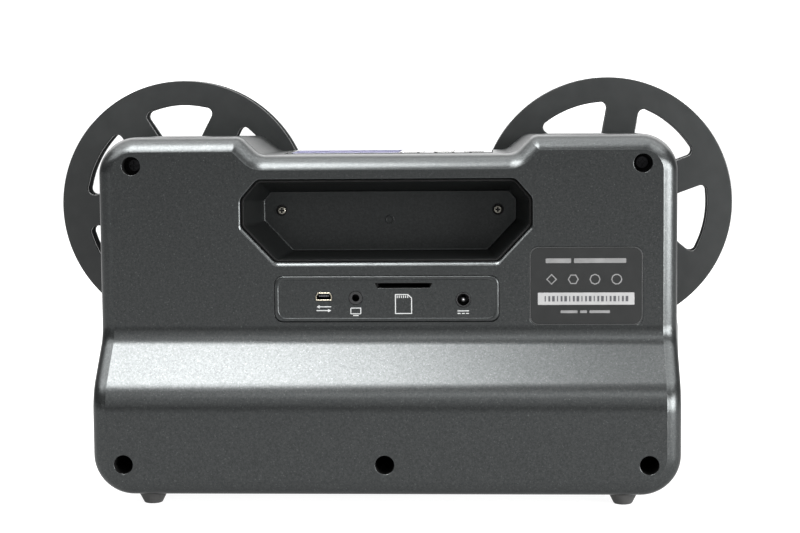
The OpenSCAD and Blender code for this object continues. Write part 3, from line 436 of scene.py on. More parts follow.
def circuit_board(name):
    """Green solder mask with tracks and pads."""
    made = Finish(name, Coat_Weight=0.4, Coat_Roughness=0.15)
    tracks = {"Scale": 260, "Mortar Size": 0.06, "Brick Width": 0.9, "Row Height": 0.35,
              "Color1": (0.006, 0.075, 0.03, 1), "Color2": (0.008, 0.095, 0.036, 1),
              "Mortar": (0.02, 0.17, 0.06, 1)}
    bricks = made.node("ShaderNodeTexBrick", tracks, offset=0.37)
    made.link(made.coords, bricks.inputs["Vector"])
    pads = made.cells(420)
    made.colour(made.mix(made.ramp(pads.outputs["Distance"], (0.1, 1.0), (0.14, 0.0)),
                         bricks.outputs["Color"], (0.55, 0.42, 0.16)))
    made.gloss(made.noise(90), 0.375, 0.075)
    made.bump(bricks.outputs["Fac"], 0.15, 0.00005)
    return made.material


def clear_glass(name, tint):
    made = Finish(name, IOR=1.5, Transmission_Weight=1.0)
    made.colour(made.ramp(made.noise(25), (0.3, tint), (0.7, tuple(min(1, c * 1.08) for c in tint))))
    made.gloss(made.noise(40), 0.03, 0.01)
    return made.material


def screen_film(name, dark, light, tint, rough):
    """Dark display glass under a hazy film, whose sheen shows at a low angle."""
    made = Finish(name, Specular_IOR_Level=0.0, Sheen_Weight=0.3, Sheen_Roughness=0.3,
                  Sheen_Tint=tint + (1,))
    made.colour(made.ramp(made.noise(40, 3), (0.3, dark), (0.7, light)))
    made.gloss(made.noise(60, 3), rough, 0.06)
    return made.material


paint = metallic_paint("shell_paint", (0.033, 0.0352, 0.0355), (0.041, 0.0432, 0.0435), 1.8, 0.3, 0.92)
# Darker copy of the shell paint that gives the carrying recess its painted shade
cup_painted_shade = metallic_paint("cup_painted_shade", (0.012, 0.0132, 0.0132), (0.0155, 0.0167, 0.0167), 1.3, 0.42, 0.75)
# Lighter copy of the shell paint for the recess's lip: a painted highlight
lip_painted_highlight = metallic_paint("lip_painted_highlight", (0.054, 0.0575, 0.058), (0.066, 0.0695, 0.07), 1.4, 0.3, 0.92)
reel_grey = moulded("reel_grey", (0.0085, 0.0095, 0.0095), (0.0115, 0.0125, 0.0125), 0.36, 700, 0.08,
                    Specular_IOR_Level=0.3)
black = moulded("black_moulding", (0.006, 0.006, 0.0065), (0.010, 0.010, 0.0105), 0.48,
                Specular_IOR_Level=0.35)
gloss_black = moulded("gloss_black", (0.006, 0.006, 0.007), (0.009, 0.009, 0.010), 0.2, 300, 0.03,
                      Coat_Weight=0.5)
deck_black = moulded("deck_black", (0.020, 0.021, 0.022), (0.0225, 0.0235, 0.0245), 0.42, 1400, 0.2)
rubber = moulded("rubber", (0.016, 0.016, 0.016), (0.026, 0.026, 0.025), 0.78, 500, 0.25, 0.0001)
steel = turned_metal("steel", (0.42, 0.42, 0.43), (0.56, 0.56, 0.57), 0.3)
brass = turned_metal("brass", (0.56, 0.40, 0.16), (0.68, 0.50, 0.22), 0.3)
pale_gold = turned_metal("pale_gold", (0.27, 0.25, 0.20), (0.36, 0.33, 0.27), 0.3)
board = circuit_board("circuit_board")
white = moulded("white_plastic", (0.72, 0.72, 0.70), (0.80, 0.80, 0.78), 0.42, 600, 0.08)
key_white = moulded("key_white", (0.28, 0.28, 0.274), (0.32, 0.32, 0.314), 0.42, 600, 0.08)
roller_white = moulded("roller_white", (0.40, 0.40, 0.38), (0.46, 0.46, 0.44), 0.36, 500, 0.06)
ink = moulded("white_ink", (0.26, 0.265, 0.265), (0.32, 0.325, 0.325), 0.5, 900, 0.1)
tongue_grey = moulded("tongue_grey", (0.05, 0.05, 0.055), (0.07, 0.07, 0.075), 0.5, 900, 0.1)
grey_ink = moulded("grey_ink", (0.022, 0.022, 0.026), (0.03, 0.03, 0.034), 0.5, 900, 0.1)
label_white = moulded("label_white", 0.18, 0.21, 0.5, 900, 0.1)
label_grey = moulded("label_grey", 0.085, 0.12, 0.5, 900, 0.1)
label_film = moulded("label_film", (0.007, 0.0075, 0.0075), (0.009, 0.0095, 0.0095), 0.4, 1500, 0.1,
                     Specular_IOR_Level=0.22)
label_edge = moulded("label_edge", (0.016, 0.017, 0.017), (0.022, 0.023, 0.023), 0.4, 1500, 0.1)
# Near-black with little gloss, put inside holes, sockets and gaps as painted shade
hole_painted_shade = moulded("hole_painted_shade", 0.004, 0.006, 0.6, Specular_IOR_Level=0.1)
black_oxide = turned_metal("black_oxide", (0.012, 0.012, 0.013), (0.02, 0.02, 0.021), 0.45)
dull_brass = turned_metal("dull_brass", (0.13, 0.125, 0.11), (0.20, 0.19, 0.165), 0.36)
glass = clear_glass("lens_glass", (0.86, 0.93, 0.96))
screen = screen_film("screen_glass", (0.012, 0.012, 0.022), (0.017, 0.017, 0.03), (0.62, 0.62, 0.86), 0.36)
mirror = turned_metal("mirror_silver", (0.86, 0.87, 0.88), (0.92, 0.93, 0.94), 0.08)


# Form of the casing
def back_y(z):
    """Depth of the back face at height z: flat, the swelling with its two bends, flat."""
    if z >= BEND_TOP:
        return Y_UP
    if z >= Z_BEND_HIGH - FOLD_REACH * cos(BEND_TILT):
        return Y_UP + FOLD_R - sqrt(FOLD_R ** 2 - (BEND_TOP - z) ** 2)
    if z >= Z_BEND_LOW + BELLY_REACH * cos(BEND_TILT):
        return Y_UP + (Z_BEND_HIGH - z) * tan(BEND_TILT)
    if z > BEND_FOOT:
        return Y_LOW - BELLY_R + sqrt(BELLY_R ** 2 - (z - BEND_FOOT) ** 2)
    return Y_LOW


def levels_between(low, high, n):
    return [low + (high - low) * i / n for i in range(1, n)]


BEND_ANGLES = [BEND_TILT * i / BEND_STEPS for i in range(BEND_STEPS + 1)]
SIDE_FOOT = levels_between(Z_BOT + BOTTOM_R, BEND_FOOT, FOOT_STEPS)
SIDE_BEND = [BEND_FOOT + BELLY_R * sin(a) for a in BEND_ANGLES]
SIDE_BEND += [BEND_TOP - FOLD_R * sin(a) for a in reversed(BEND_ANGLES)]
SIDE_TOP = levels_between(BEND_TOP, Z_TOP - TOP_R, SIDE_STEPS)
SIDE_ZS = SIDE_FOOT + SIDE_BEND + SIDE_TOP


def half_outline(inset, flare=0.0):
    """Right half of the casing's outline, from the foot to the dip; flare is 1 at the front face."""
    side = arc(HALF_W - BOTTOM_R, Z_BOT + BOTTOM_R, BOTTOM_R - inset, -90, 0, CORNER_STEPS)
    side += [(HALF_W - inset, z) for z in SIDE_ZS]
    top = Z_TOP - TOP_FALL * flare
    side += arc(HALF_W - TOP_R, top - TOP_R, TOP_R - inset, 0, 90, CORNER_STEPS)
    side = [(x + flare * HIP * exp(-((z - HIP_Z) / HIP_W) ** 2), z) for x, z in side]
    x = DIP_X - flare * SHOULDER_IN
    crest = arc(x + SHOULDER_RUN, top - SHOULDER_R, SHOULDER_R - inset,
                90, 90 + SHOULDER_A, CORNER_STEPS // 2)
    foot = arc(x, Z_DIP + SHOULDER_R, SHOULDER_R + inset, 270 + SHOULDER_A, 270, CORNER_STEPS // 2)
    return side + crest + foot


def casing_outline(inset, flare=0.0):
    return mirrored(half_outline(inset, flare))


N_HALF = len(half_outline(0))
FIRST_BEND = CORNER_STEPS + 1 + len(SIDE_FOOT)
LAST_BEND = FIRST_BEND + len(SIDE_BEND) - 1


def back_ring(skin, drop, inset):
    return skin.add([(x, back_y(z) - drop, z) for x, z in casing_outline(inset)])


def rim_ring(skin, share):
    """Ring of the rounded rim, from 0 at its outer edge to 1 at the back face, deeper along the top."""
    points = []
    for (x0, z0), (x1, z1) in zip(casing_outline(0), casing_outline(RIM_W)):
        t = min(1, max(0, (z0 - z1) / RIM_W))
        t = t * t * (3 - 2 * t)
        end = radians(RIM_END + (TOP_RIM_END - RIM_END) * t)
        a = end * share
        drop = (RIM_D + (TOP_RIM_D - RIM_D) * t) * (1 - sin(a) / sin(end))
        inset = (1 - cos(a)) / (1 - cos(end))
        z = z0 + (z1 - z0) * inset
        points.append((x0 + (x1 - x0) * inset, back_y(z) - drop - EDGE_D * share, z))
    return skin.add(points)


def back_face(skin, ring, high_holes, low_holes):
    """Closes a ring with the upper back, the swelling and the lower back."""
    n = len(ring)
    skin.fill(ring[LAST_BEND:n - LAST_BEND], high_holes)
    for i in range(FIRST_BEND, LAST_BEND):
        skin.faces.append([ring[i], ring[i + 1], ring[n - 2 - i], ring[n - 1 - i]])
    skin.fill(ring[:FIRST_BEND + 1] + ring[n - 1 - FIRST_BEND:], low_holes)


# Features of the back
BORE_R = 4.4
BOSS_R = 6.5
SCREW_HOLE_R = 1.7
SEAT = 2.5
LIP = 0.4
SCREW_HIGH_IN, SCREW_HIGH_DOWN = 16.5, 13.3
SCREW_LOW_IN, SCREW_LOW_UP = 15, 15
SCREWS_HIGH = [(s * (HALF_W - SCREW_HIGH_IN), Z_TOP - SCREW_HIGH_DOWN) for s in (1, -1)]
SCREWS_LOW = [(s * (HALF_W - SCREW_LOW_IN), Z_BOT + SCREW_LOW_UP) for s in (1, 0, -1)]
PLATE_R = 4
PORT_MID_Z = middle("port_plate")[2]
PORT_W, _, PORT_H = lengths("port_plate")
PORT_SEAT = 1.5
PORT_LEDGE_X, PORT_LEDGE_Z = 9.5, 1.5
PORT_WINDOW_R = 2
LABEL_LOW, LABEL_HIGH = span("rating_plate")
LABEL_X, _, LABEL_Z = middle("rating_plate")
LABEL_W, _, LABEL_H = lengths("rating_plate")
LABEL_LIP = 0.15
LABEL_SEAT = 0.5
GRIP_X = 69
GRIP_Z = Z_BOT + 107.5
GRIP_H = 39
GRIP_D = 32.5
GRIP_T = 2
GRIP_SIDE_IN, GRIP_TOP_DOWN, GRIP_FOOT_UP = 6.5, 6.3, 1.9
GRIP_CUT, GRIP_CUT_LESS, GRIP_CUT_STEEP = 8, 4, 1.15
GRIP_BEVEL, GRIP_BEVEL_LESS, GRIP_BEVEL_STEEP = 16, 1.5, 1.06
GRIP_R, GRIP_R_LESS = 4, 1
GRIP_LIP = 0.5
GRIP_LOW_LIP = 1.8
GRIP_LIP_ROUND = 0.35
GRIP_LIP_STEPS = 10


def grip_outline(grow, floor=0.0):
    """Eight-sided opening of the carrying recess; floor is 0 at the back face and 1 at its floor."""
    x = GRIP_X - GRIP_SIDE_IN * floor
    top = GRIP_Z + GRIP_H - GRIP_TOP_DOWN * floor
    low = GRIP_Z + GRIP_FOOT_UP * floor
    cut = GRIP_CUT - GRIP_CUT_LESS * floor
    bevel = GRIP_BEVEL - GRIP_BEVEL_LESS * floor
    right = [(x - bevel, low), (x, low + bevel * GRIP_BEVEL_STEEP),
             (x, top - cut * GRIP_CUT_STEEP), (x - cut, top)]
    return grown(rounded(mirrored(right), GRIP_R - GRIP_R_LESS * floor), grow)


def port_outline(grow):
    return soft_plate(0, PORT_MID_Z, PORT_W, PORT_H, grow, PLATE_R)


def label_outline(grow):
    return soft_plate(LABEL_X, LABEL_Z, LABEL_W, LABEL_H, grow, PLATE_R)


def grip_lip(skin):
    """Rounded lip of the carrying recess, wider along its lower edge."""
    edge = grip_outline(GAP)
    out = grown(edge, 1)
    straight = 1 - GRIP_LIP_ROUND
    rings = []
    for k, (c, s) in enumerate(quarter(GRIP_LIP_STEPS)):
        share = k / GRIP_LIP_STEPS
        out_share = GRIP_LIP_ROUND * s + straight * (1 - share)
        deep_share = GRIP_LIP_ROUND * c + straight * share
        points = []
        for (x, z), (u, v) in zip(edge, out):
            r = GRIP_LIP + (GRIP_LOW_LIP - GRIP_LIP) * min(1, max(0, z - v))
            far = r * out_share
            points.append((x + (u - x) * far, Y_UP - r * deep_share, z + (v - z) * far))
        rings.append(skin.add(points))
    skin.loft(rings)
    return rings


def screw_bore(skin, x, z, y):
    """Deep screw hole with a rounded lip, painted shade inside, and the boss behind it."""
    waist, boss = SCREW_HOLE_R - BORE_R, BOSS_R - BORE_R
    lip = lip_levels(y, LIP)
    inside = [(Y_PART + SEAT, 0), (Y_PART + SEAT, waist), (Y_PART, waist),
              (Y_PART, boss), (y - WALL, boss)]
    rings = [skin.ring(circle(x, z, BORE_R + grow), level) for level, grow in lip + inside]
    skin.loft(rings[:len(lip)])
    # The bore's inside takes the painted shade
    first = len(skin.faces)
    skin.loft(rings[len(lip) - 1:])
    skin.mark(first)
    return rings[0], rings[-1]


def port_pocket(skin):
    """Pocket of the socket plate, with a window through its floor."""
    levels = lip_levels(Y_UP, GAP) + [(Y_UP - PORT_SEAT, 0)]
    pocket = [skin.ring(port_outline(GAP + grow), y) for y, grow in levels]
    skin.loft(pocket)
    w, h = PORT_W - 2 * PORT_LEDGE_X, PORT_H - 2 * PORT_LEDGE_Z
    outline = rounded(rectangle(0, PORT_MID_Z, w, h), PORT_WINDOW_R)
    window = [skin.ring(outline, y) for y in (Y_UP - PORT_SEAT, Y_UP - WALL)]
    skin.fill(pocket[-1], [window[0]])
    skin.loft(window)
    return pocket[0], window[-1]


def rear_cover():
    """Rear half of the casing, with its rim, swelling, recess, pockets and screw holes."""
    skin = Skin()
    outer = [skin.ring(casing_outline(SEAM), Y_PART), skin.ring(casing_outline(0), Y_PART + SEAM)]
    outer += [rim_ring(skin, i / RIM_STEPS) for i in range(RIM_STEPS + 1)]
    outer.append(back_ring(skin, 0, RIM_W + EDGE_W))
    skin.loft(outer)
    inner = [skin.ring(casing_outline(WALL), Y_PART), back_ring(skin, RIM_D, WALL),
             back_ring(skin, WALL, WALL + RIM_W / 2)]
    skin.loft(inner)
    skin.bridge(outer[0], inner[0])
    # The recess's lip takes the lighter paint, a painted highlight
    first = len(skin.faces)
    rings = grip_lip(skin)
    skin.mark(first, 2)
    rings.append(skin.ring(grip_outline(GAP), Y_UP - WALL))
    skin.bridge(rings[-2], rings[-1])
    high = [(rings[0], rings[-1]), port_pocket(skin)]
    high += [screw_bore(skin, x, z, Y_UP) for x, z in SCREWS_HIGH]
    low = [screw_bore(skin, x, z, Y_LOW) for x, z in SCREWS_LOW]
    levels = ((Y_UP, GAP + LABEL_LIP), (Y_UP - LABEL_LIP, GAP), (Y_UP - LABEL_SEAT, GAP))
    label = [skin.ring(label_outline(grow), y) for y, grow in levels]
    skin.loft(label)
    skin.fill(label[-1])
    back_face(skin, outer[-1], [pair[0] for pair in high] + [label[0]], [pair[0] for pair in low])
    back_face(skin, inner[-1], [pair[1] for pair in high], [pair[1] for pair in low])
    # Second finish is painted shade in the screw bores, third the painted highlight on the recess's lip
    skin.build("rear_cover_shell", paint, "shell", ["rear_cover"], others=(hole_painted_shade, lip_painted_highlight))


# Front half, with the control panel in the dip
PANEL_HIGH = span("control_panel")[1]
PANEL_MID_Y = middle("control_panel")[1]
PANEL_W, PANEL_L, _ = lengths("control_panel")
PANEL_R = 1.6
PANEL_T = 2
PANEL_LEDGE = 2
Z_PANEL = PANEL_HIGH.z
BUSH_R = 6.05
DECK_IN = 6
DECK_EDGE = 0.5
DOTS = 5
DOT_R = 0.6
DOT_X, DOT_STEP = -6.4, 8.35
DOT_IN = 1.3
DOT_SINK, DOT_RISE = 0.4, 0.25
SIGN_R, SIGN_LINE = 2.1, 0.55
SIGN_DOT_R = 1.4
SIGN_SINK, SIGN_RISE = 0.05, 0.03
PATH_W = 0.8
PATH_CLEAR = 6
PATH_SHORTEST = 14
PATH_RISE, PATH_SINK = 0.06, 0.1


def panel_outline(grow):
    return soft_plate(0, PANEL_MID_Y, PANEL_W, PANEL_L, grow, PANEL_R)


def front_cover():
    """Front half of the casing, with the bushes' holes and the panel's pocket."""
    skin = Skin()

    def ring(y, inset):
        return skin.ring(casing_outline(inset, (Y_PART - y) / (Y_PART - Y_WALL)), y)

    dip = N_HALF - 1
    nose = [ring(Y_WALL + FRONT_R * c, FRONT_R * s) for c, s in quarter(RIM_STEPS)]
    skin.loft(nose)
    edge = ring(Y_PART - SEAM, 0)
    skin.bridge(nose[-1], edge, [dip])
    seam = ring(Y_PART, SEAM)
    skin.bridge(edge, seam)
    y_in = Y_WALL + WALL
    inner = [ring(y_in, WALL + NOSE_INSIDE * FRONT_R), ring(y_in + FRONT_R, WALL), ring(Y_PART, WALL)]
    skin.bridge(inner[0], inner[1])
    skin.bridge(inner[1], inner[2], [dip])
    skin.bridge(seam, inner[2])
    holes = []
    for x in (-REEL_X, REEL_X):
        pair = [skin.ring(circle(x, Z_REEL, BUSH_R), y) for y in (Y_WALL, y_in)]
        skin.loft(pair)
        holes.append(pair)
    skin.fill(nose[0], [pair[0] for pair in holes])
    skin.fill(inner[0], [pair[1] for pair in holes])
    levels = lip_levels(Z_DIP, LIP) + [(Z_PANEL - PANEL_T, 0)]
    pocket = [skin.ring(panel_outline(GAP + grow), z, "z") for z, grow in levels]
    skin.loft(pocket)
    window = [skin.ring(panel_outline(GAP - PANEL_LEDGE), z, "z")
              for z in (Z_PANEL - PANEL_T, Z_DIP - WALL)]
    skin.loft(window)
    skin.fill(pocket[-1], [window[0]], "z")
    skin.fill([nose[-1][dip], edge[dip], edge[dip + 1], nose[-1][dip + 1]], [pocket[0]], "z")
    skin.fill([inner[1][dip], inner[2][dip], inner[2][dip + 1], inner[1][dip + 1]], [window[1]], "z")
    skin.build("front_cover_shell", paint, "shell", ["front_cover"])


def film_deck():
    skin = Skin()
    holes = [circle(x, Z_REEL, BUSH_R) for x in (-REEL_X, REEL_X)]
    skin.plate(casing_outline(DECK_IN, 1), Y_DECK, Y_WALL, holes, DECK_EDGE, 0)
    skin.build("deck_plate", deck_black, "black_plastic", ["film_deck"])


def panel_dots():
    """Small marks along the rear margin of the control panel."""
    skin = Skin()
    y = PANEL_HIGH.y - DOT_IN
    for k in range(DOTS):
        outline = circle(DOT_X - DOT_STEP * k, y, DOT_R, 20)
        skin.plate(outline, Z_PANEL - DOT_SINK, Z_PANEL + DOT_RISE, (), 0, 0.2, 4, "z")
    skin.build("panel_dots", black, "black_plastic")


def key_marks():
    """Plain signs on the keys: a switch ring, four arrowheads and a dot."""
    ring = arc(0, 0, SIGN_R, 125, 415, 24) + arc(0, 0, SIGN_R - SIGN_LINE, 415, 125, 24)
    arrow = [(-1.9, -1.1), (1.9, -1.1), (0, 1.7)]
    signs = {"key_power": [ring, rectangle(0, 1.5, 0.6, 1.9)], "key_ok": [circle(0, 0, SIGN_DOT_R, 32)]}
    for k, way in enumerate(("up", "left", "down", "right")):
        signs[f"key_{way}"] = [turned(arrow, 90 * k)]
    for node, outlines in signs.items():
        x, y, _ = middle(node)
        top = span(node)[1].z
        skin = Skin()
        for outline in outlines:
            skin.plate([(x + u, y + v) for u, v in outline], top - SIGN_SINK, top + SIGN_RISE, axis="z")
        skin.build(f"{node}_sign", grey_ink, "black_plastic", body=node)


def film_path():
    """Thin line on the deck that shows the way from roller to roller."""
    skin = Skin()
    for side in ("supply", "takeup"):
        places = [middle(f"{side}_roller_{k}") for k in (1, 2, 3)]
        points = [Vector((x, z)) for x, _, z in places]
        for a, b in zip(points, points[1:]):
            step = (b - a).normalized() * PATH_CLEAR
            if (b - a).length > PATH_SHORTEST:
                line = bar(*(a + step), *(b - step), PATH_W)
                skin.plate(line, Y_DECK - PATH_RISE, Y_DECK + PATH_SINK)
    skin.build("film_path", ink, "white_plastic")


# Carrying recess
CUP_WALL = 0.8
CUP_FILLET = 0.8
CUP_DOWN = 0.2
CUP_EDGE_W, CUP_EDGE_D = 0.2, 0.3
CUP_STEPS = 6
Y_CUP_FLOOR = Y_UP - GRIP_D
MOULD_UP = 18
MOULD_R, MOULD_IN = 2.2, 1.4
MOULD_SINK, MOULD_RISE = 0.5, 0.35
CUP_RING_R, CUP_RING_IN = 2.8, 2.05
CUP_RING_SINK, CUP_RING_RISE = 2, 0.5
HEAD_R = 1.95
HEAD_EDGE = 0.5
HEAD_SINK, HEAD_RISE = 8, 1.7
CROSS_REACH, CROSS_HALF, CROSS_D = 1.25, 0.42, 0.8


def grip_cup():
    """Carrying cup in the darker paint of painted shade: outer wall, narrow edge in near-black painted
    shade, sloping walls and a flat floor with a soft corner.
    """
    skin = Skin()
    y_edge = Y_UP - GRIP_LOW_LIP - CUP_DOWN
    y_low = y_edge - CUP_EDGE_D
    rings = [skin.ring(grip_outline(0, 1), Y_CUP_FLOOR - GRIP_T), skin.ring(grip_outline(0), y_low)]
    skin.bridge(*rings)
    for y, inset in ((y_edge, CUP_EDGE_W), (y_edge, CUP_WALL - CUP_EDGE_W), (y_low, CUP_WALL)):
        rings.append(skin.ring(grip_outline(-inset, (Y_UP - y) / GRIP_D), y))
    first = len(skin.faces)
    skin.loft(rings[1:])
    skin.mark(first)
    inside = [rings[-1]]
    for c, s in quarter(CUP_STEPS):
        y = Y_CUP_FLOOR + CUP_FILLET * s
        inset = CUP_WALL + CUP_FILLET * c
        inside.append(skin.ring(grip_outline(-inset, (Y_UP - y) / GRIP_D), y))
    skin.loft(inside)
    skin.fill(rings[0])
    skin.fill(inside[-1])
    # Darker paint as painted shade; the narrow edge takes the near-black painted shade
    skin.build("grip_lining", cup_painted_shade, "shell", ["grip_cup"], others=(hole_painted_shade,))


def moulding_mark():
    """Faint moulded ring in the middle of the recess's floor."""
    skin = Skin()
    z = GRIP_Z + MOULD_UP
    skin.plate(circle(0, z, MOULD_R), Y_CUP_FLOOR - MOULD_SINK, Y_CUP_FLOOR + MOULD_RISE,
               [circle(0, z, MOULD_IN)], 0, 0.3, 4)
    # In the recess's darker paint, which is painted shade
    skin.build("moulding_mark", cup_painted_shade, "shell")


def cross_outline(u, v):
    arm = [(CROSS_HALF, -CROSS_REACH), (CROSS_HALF, -CROSS_HALF), (CROSS_REACH, -CROSS_HALF)]
    return [(u + x, v + z) for k in range(4) for x, z in turned(arm, 90 * k)]


def cup_screws():
    """Two small screws in near-black rings of painted shade on the floor of the recess."""
    rings, heads = Skin(), Skin()
    y, top = Y_CUP_FLOOR, Y_CUP_FLOOR + HEAD_RISE
    far = span("grip_screws")[1].x - CUP_RING_R
    z = middle("grip_screws")[2]
    for x in (far, -far):
        rings.plate(circle(x, z, CUP_RING_R), y - CUP_RING_SINK, y + CUP_RING_RISE,
                    [circle(x, z, CUP_RING_IN)], 0, 0.2, 3)
        levels = profile(y - HEAD_SINK, top, 0, HEAD_EDGE, 5)
        sides = [heads.ring(circle(x, z, HEAD_R - inset), level) for level, inset in levels]
        cross = [heads.ring(cross_outline(x, z), level) for level in (top, top - CROSS_D)]
        heads.loft(sides)
        heads.fill(sides[0])
        heads.fill(sides[-1], [cross[0]])
        # The cross recess takes the painted shade
        first = len(heads.faces)
        heads.bridge(*cross)
        heads.fill(cross[1])
        heads.mark(first)
    rings.build("cup_screw_rings", hole_painted_shade, "black_plastic")
    heads.build("cup_screw_heads", dull_brass, "steel", ["grip_screws"], others=(hole_painted_shade,))


# Sockets: data, video and power hang under the main board, and the card slot is above it
Z_BOARD = span("main_board")[0].z
BOARD_T = 1.6
PORT_FACE = 0.3
PORT_HOLE_LIP = 0.15
BEAD = 0.95
BEAD_DOWN = 0.1
BEAD_A = 150
BEAD_STEPS = 12
USB_X = 29.8
USB_W, USB_H = 7.7, 3.8
USB_SLANT_X, USB_SLANT_Z = 1, 1.6
USB_D, USB_BACK = 9, 0.6
USB_T, USB_EDGE = 0.45, 0.1
USB_DOWN = 0.3
Z_USB = Z_BOARD - USB_DOWN - USB_H / 2
TONGUE_W, TONGUE_H, TONGUE_UP = 4.8, 1.0, 0.35
TONGUE_SINK, TONGUE_DOWN = 8.6, 0.6
CONTACTS = 5
CONTACT_W, CONTACT_H, CONTACT_STEP = 0.3, 0.7, 0.85
CONTACT_SINK, CONTACT_DOWN = 1, 0.5
AV_X = 14.6
AV_R = 3.1
AV_UP = 0.3
Z_AV = Z_BOARD - AV_R + AV_UP
DC_X = -36.4
DC_R = 3.4
DC_DOWN = 0.4
Z_DC = Z_BOARD - DC_R - DC_DOWN
PIN_R = 0.75
PIN_LONG, PIN_DOWN = 10.8, 1.4
PIN_STEPS = 6
CARD_X = -8.1
CARD_W, CARD_H = 24.6, 2.4
CARD_SLANT = 1.4
Z_CARD = Z_BOARD + BOARD_T + GAP + CARD_H / 2


def usb_outline(grow):
    w, h = USB_W / 2, USB_H / 2
    half = [(w, -h), (w, h - USB_SLANT_Z), (w - USB_SLANT_X, h)]
    return grown([(USB_X + u, Z_USB + v) for u, v in mirrored(half)], grow)


def card_outline():
    w, h = CARD_W / 2, CARD_H / 2
    corners = ((-w, -h), (w, -h), (w + CARD_SLANT, h), (-w - CARD_SLANT, h))
    return rounded([(CARD_X + u, Z_CARD + v) for u, v in corners], 0.3, 3)


def port_plate():
    """Socket plate with a rounded bead round its face."""
    skin = Skin()
    outer = [skin.ring(port_outline(0), y) for y in (Y_UP - PORT_SEAT, Y_UP - BEAD_DOWN)]
    for k in range(BEAD_STEPS + 1):
        a = radians(BEAD_A * k / BEAD_STEPS)
        inset = BEAD * (1 - cos(a))
        outer.append(skin.ring(port_outline(-inset), Y_UP + PORT_RISE * sin(a)))
    skin.loft(outer)
    holes = [usb_outline(GAP), circle(AV_X, Z_AV, AV_R + GAP), circle(DC_X, Z_DC, DC_R + GAP)]
    holes.append(card_outline())
    levels = lip_levels(Y_UP + PORT_FACE, PORT_HOLE_LIP, 3) + [(Y_UP - PORT_SEAT, 0)]
    fronts, backs = [], []
    for hole in holes:
        rings = [skin.ring(grown(hole, grow), y) for y, grow in levels]
        skin.loft(rings[:-1])
        # The holes' walls are in painted shade
        first = len(skin.faces)
        skin.bridge(rings[-2], rings[-1])
        skin.mark(first)
        fronts.append(rings[0])
        backs.append(rings[-1])
    skin.fill(outer[-1], fronts)
    skin.fill(outer[0], backs)
    skin.build("socket_plate", paint, "shell", ["port_plate"], others=(hole_painted_shade,))


def data_socket():
    """Pressed shell of the data socket, with painted shade inside."""
    skin = Skin()
    face = Y_UP + PORT_RISE - USB_EDGE
    levels = [(Y_UP - USB_D, 0), (face - USB_EDGE, 0), (face, -USB_EDGE), (face, USB_EDGE - USB_T),
              (face - USB_EDGE, -USB_T), (Y_UP - USB_D + USB_BACK, -USB_T)]
    rings = [skin.ring(usb_outline(grow), y) for y, grow in levels]
    skin.loft(rings[:5])
    skin.fill(rings[0])
    first = len(skin.faces)
    skin.bridge(rings[4], rings[5])
    skin.fill(rings[5])
    skin.mark(first)
    skin.build("data_socket_shell", pale_gold, "steel", ["usb_socket"], others=(hole_painted_shade,))


def data_tongue():
    """Tongue of the data socket, with its contacts."""
    z = Z_USB + TONGUE_UP
    tongue = Skin()
    outline = rounded(rectangle(USB_X, z, TONGUE_W, TONGUE_H), 0.2, 2)
    tongue.plate(outline, Y_UP - TONGUE_SINK, Y_UP - TONGUE_DOWN, (), 0, 0.2, 3)
    tongue.build("data_socket_tongue", tongue_grey, "black_plastic")
    contacts = Skin()
    for k in range(CONTACTS):
        x = USB_X + (k - (CONTACTS - 1) / 2) * CONTACT_STEP
        contacts.plate(rectangle(x, z, CONTACT_W, CONTACT_H), Y_UP - CONTACT_SINK, Y_UP - CONTACT_DOWN)
    # The contacts are near-black, painted shade deep in the socket
    contacts.build("data_socket_contacts", hole_painted_shade, "black_plastic")


def power_pin():
    """Round-nosed pin in the power jack."""
    skin = Skin()
    nose = [(Y_UP - PIN_DOWN + PIN_R * (1 - s), -PIN_R * c) for c, s in quarter(PIN_STEPS)]
    levels = [(Y_UP - PIN_LONG, 0)] + nose[:-1]
    rings = [skin.ring(circle(DC_X, Z_DC, PIN_R + grow, 24), y) for y, grow in levels]
    skin.loft(rings)
    skin.fill(rings[0])
    skin.fill(rings[-1])
    skin.build("power_pin", steel, "steel")


# Printed marks, without words
PRINT_T = 0.05
PRINT_RISE, TICK_RISE = 0.02, 0.06
BORDER_IN, BORDER_RISE = 0.3, 0.05
FILM_IN = 0.35
STRIP_W, STRIP_H, STRIP_DOWN = 45.4, 5.8, 6
STRIP_RISE = 0.05
TICKS = 21
TICK_X, TICK_STEP, TICK_H = 19.2, 1.92, 2.6
TICK_W, TICK_MORE = 0.55, 0.35
BARS_HIGH = ((13, 12), (-6.6, 24.5))
BARS_LOW = ((8, 8), (1.2, 3.2), (-6.4, 9.6))
BAR_HIGH_UP, BAR_HIGH_H = 12, 2.2
BAR_LOW_DOWN, BAR_LOW_H = 12.2, 1.3
FIGURES = 4
FIGURE_X, FIGURE_STEP, FIGURE_UP = 16.2, 10.2, 3.2
FIGURE_R, FIGURE_LINE = 2.6, 0.5
LINE_W = 0.45
Z_DATA_MARK = Z_BOT + 85.3
ARROW_REACH, ARROW_STEP = 3.5, 0.9
ARROW_HEAD, ARROW_HALF = 1.5, 0.8
Z_VIDEO_MARK = Z_BOT + 84.2
VIDEO_W, VIDEO_H = 5.2, 3.2
VIDEO_FOOT, VIDEO_FOOT_DOWN = 1.3, 2.2
Z_CARD_MARK = Z_BOT + 82.7
CARD_MARK_W, CARD_MARK_H, CARD_NOTCH = 8.1, 9.5, 1.9
STRIPES = 6
STRIPE_W, STRIPE_X = 0.4, 2.0
STRIPE_TOP, STRIPE_FOOT = 0.7, 1.9
Z_POWER_MARK = Z_BOT + 83.6
POWER_HALF, POWER_UP, POWER_DOWN = 2.7, 0.5, 0.7
DASHES = 3
DASH, DASH_STEP = 1.4, 2


def printed(name, figures, finish=ink, y=Y_UP + PORT_FACE):
    """Thin printed figures, each an outline and then its holes."""
    skin = Skin()
    for outline, *holes in figures:
        skin.plate(outline, y - PRINT_T / 2, y + PRINT_T / 2, holes)
    skin.build(name, finish, "white_plastic")


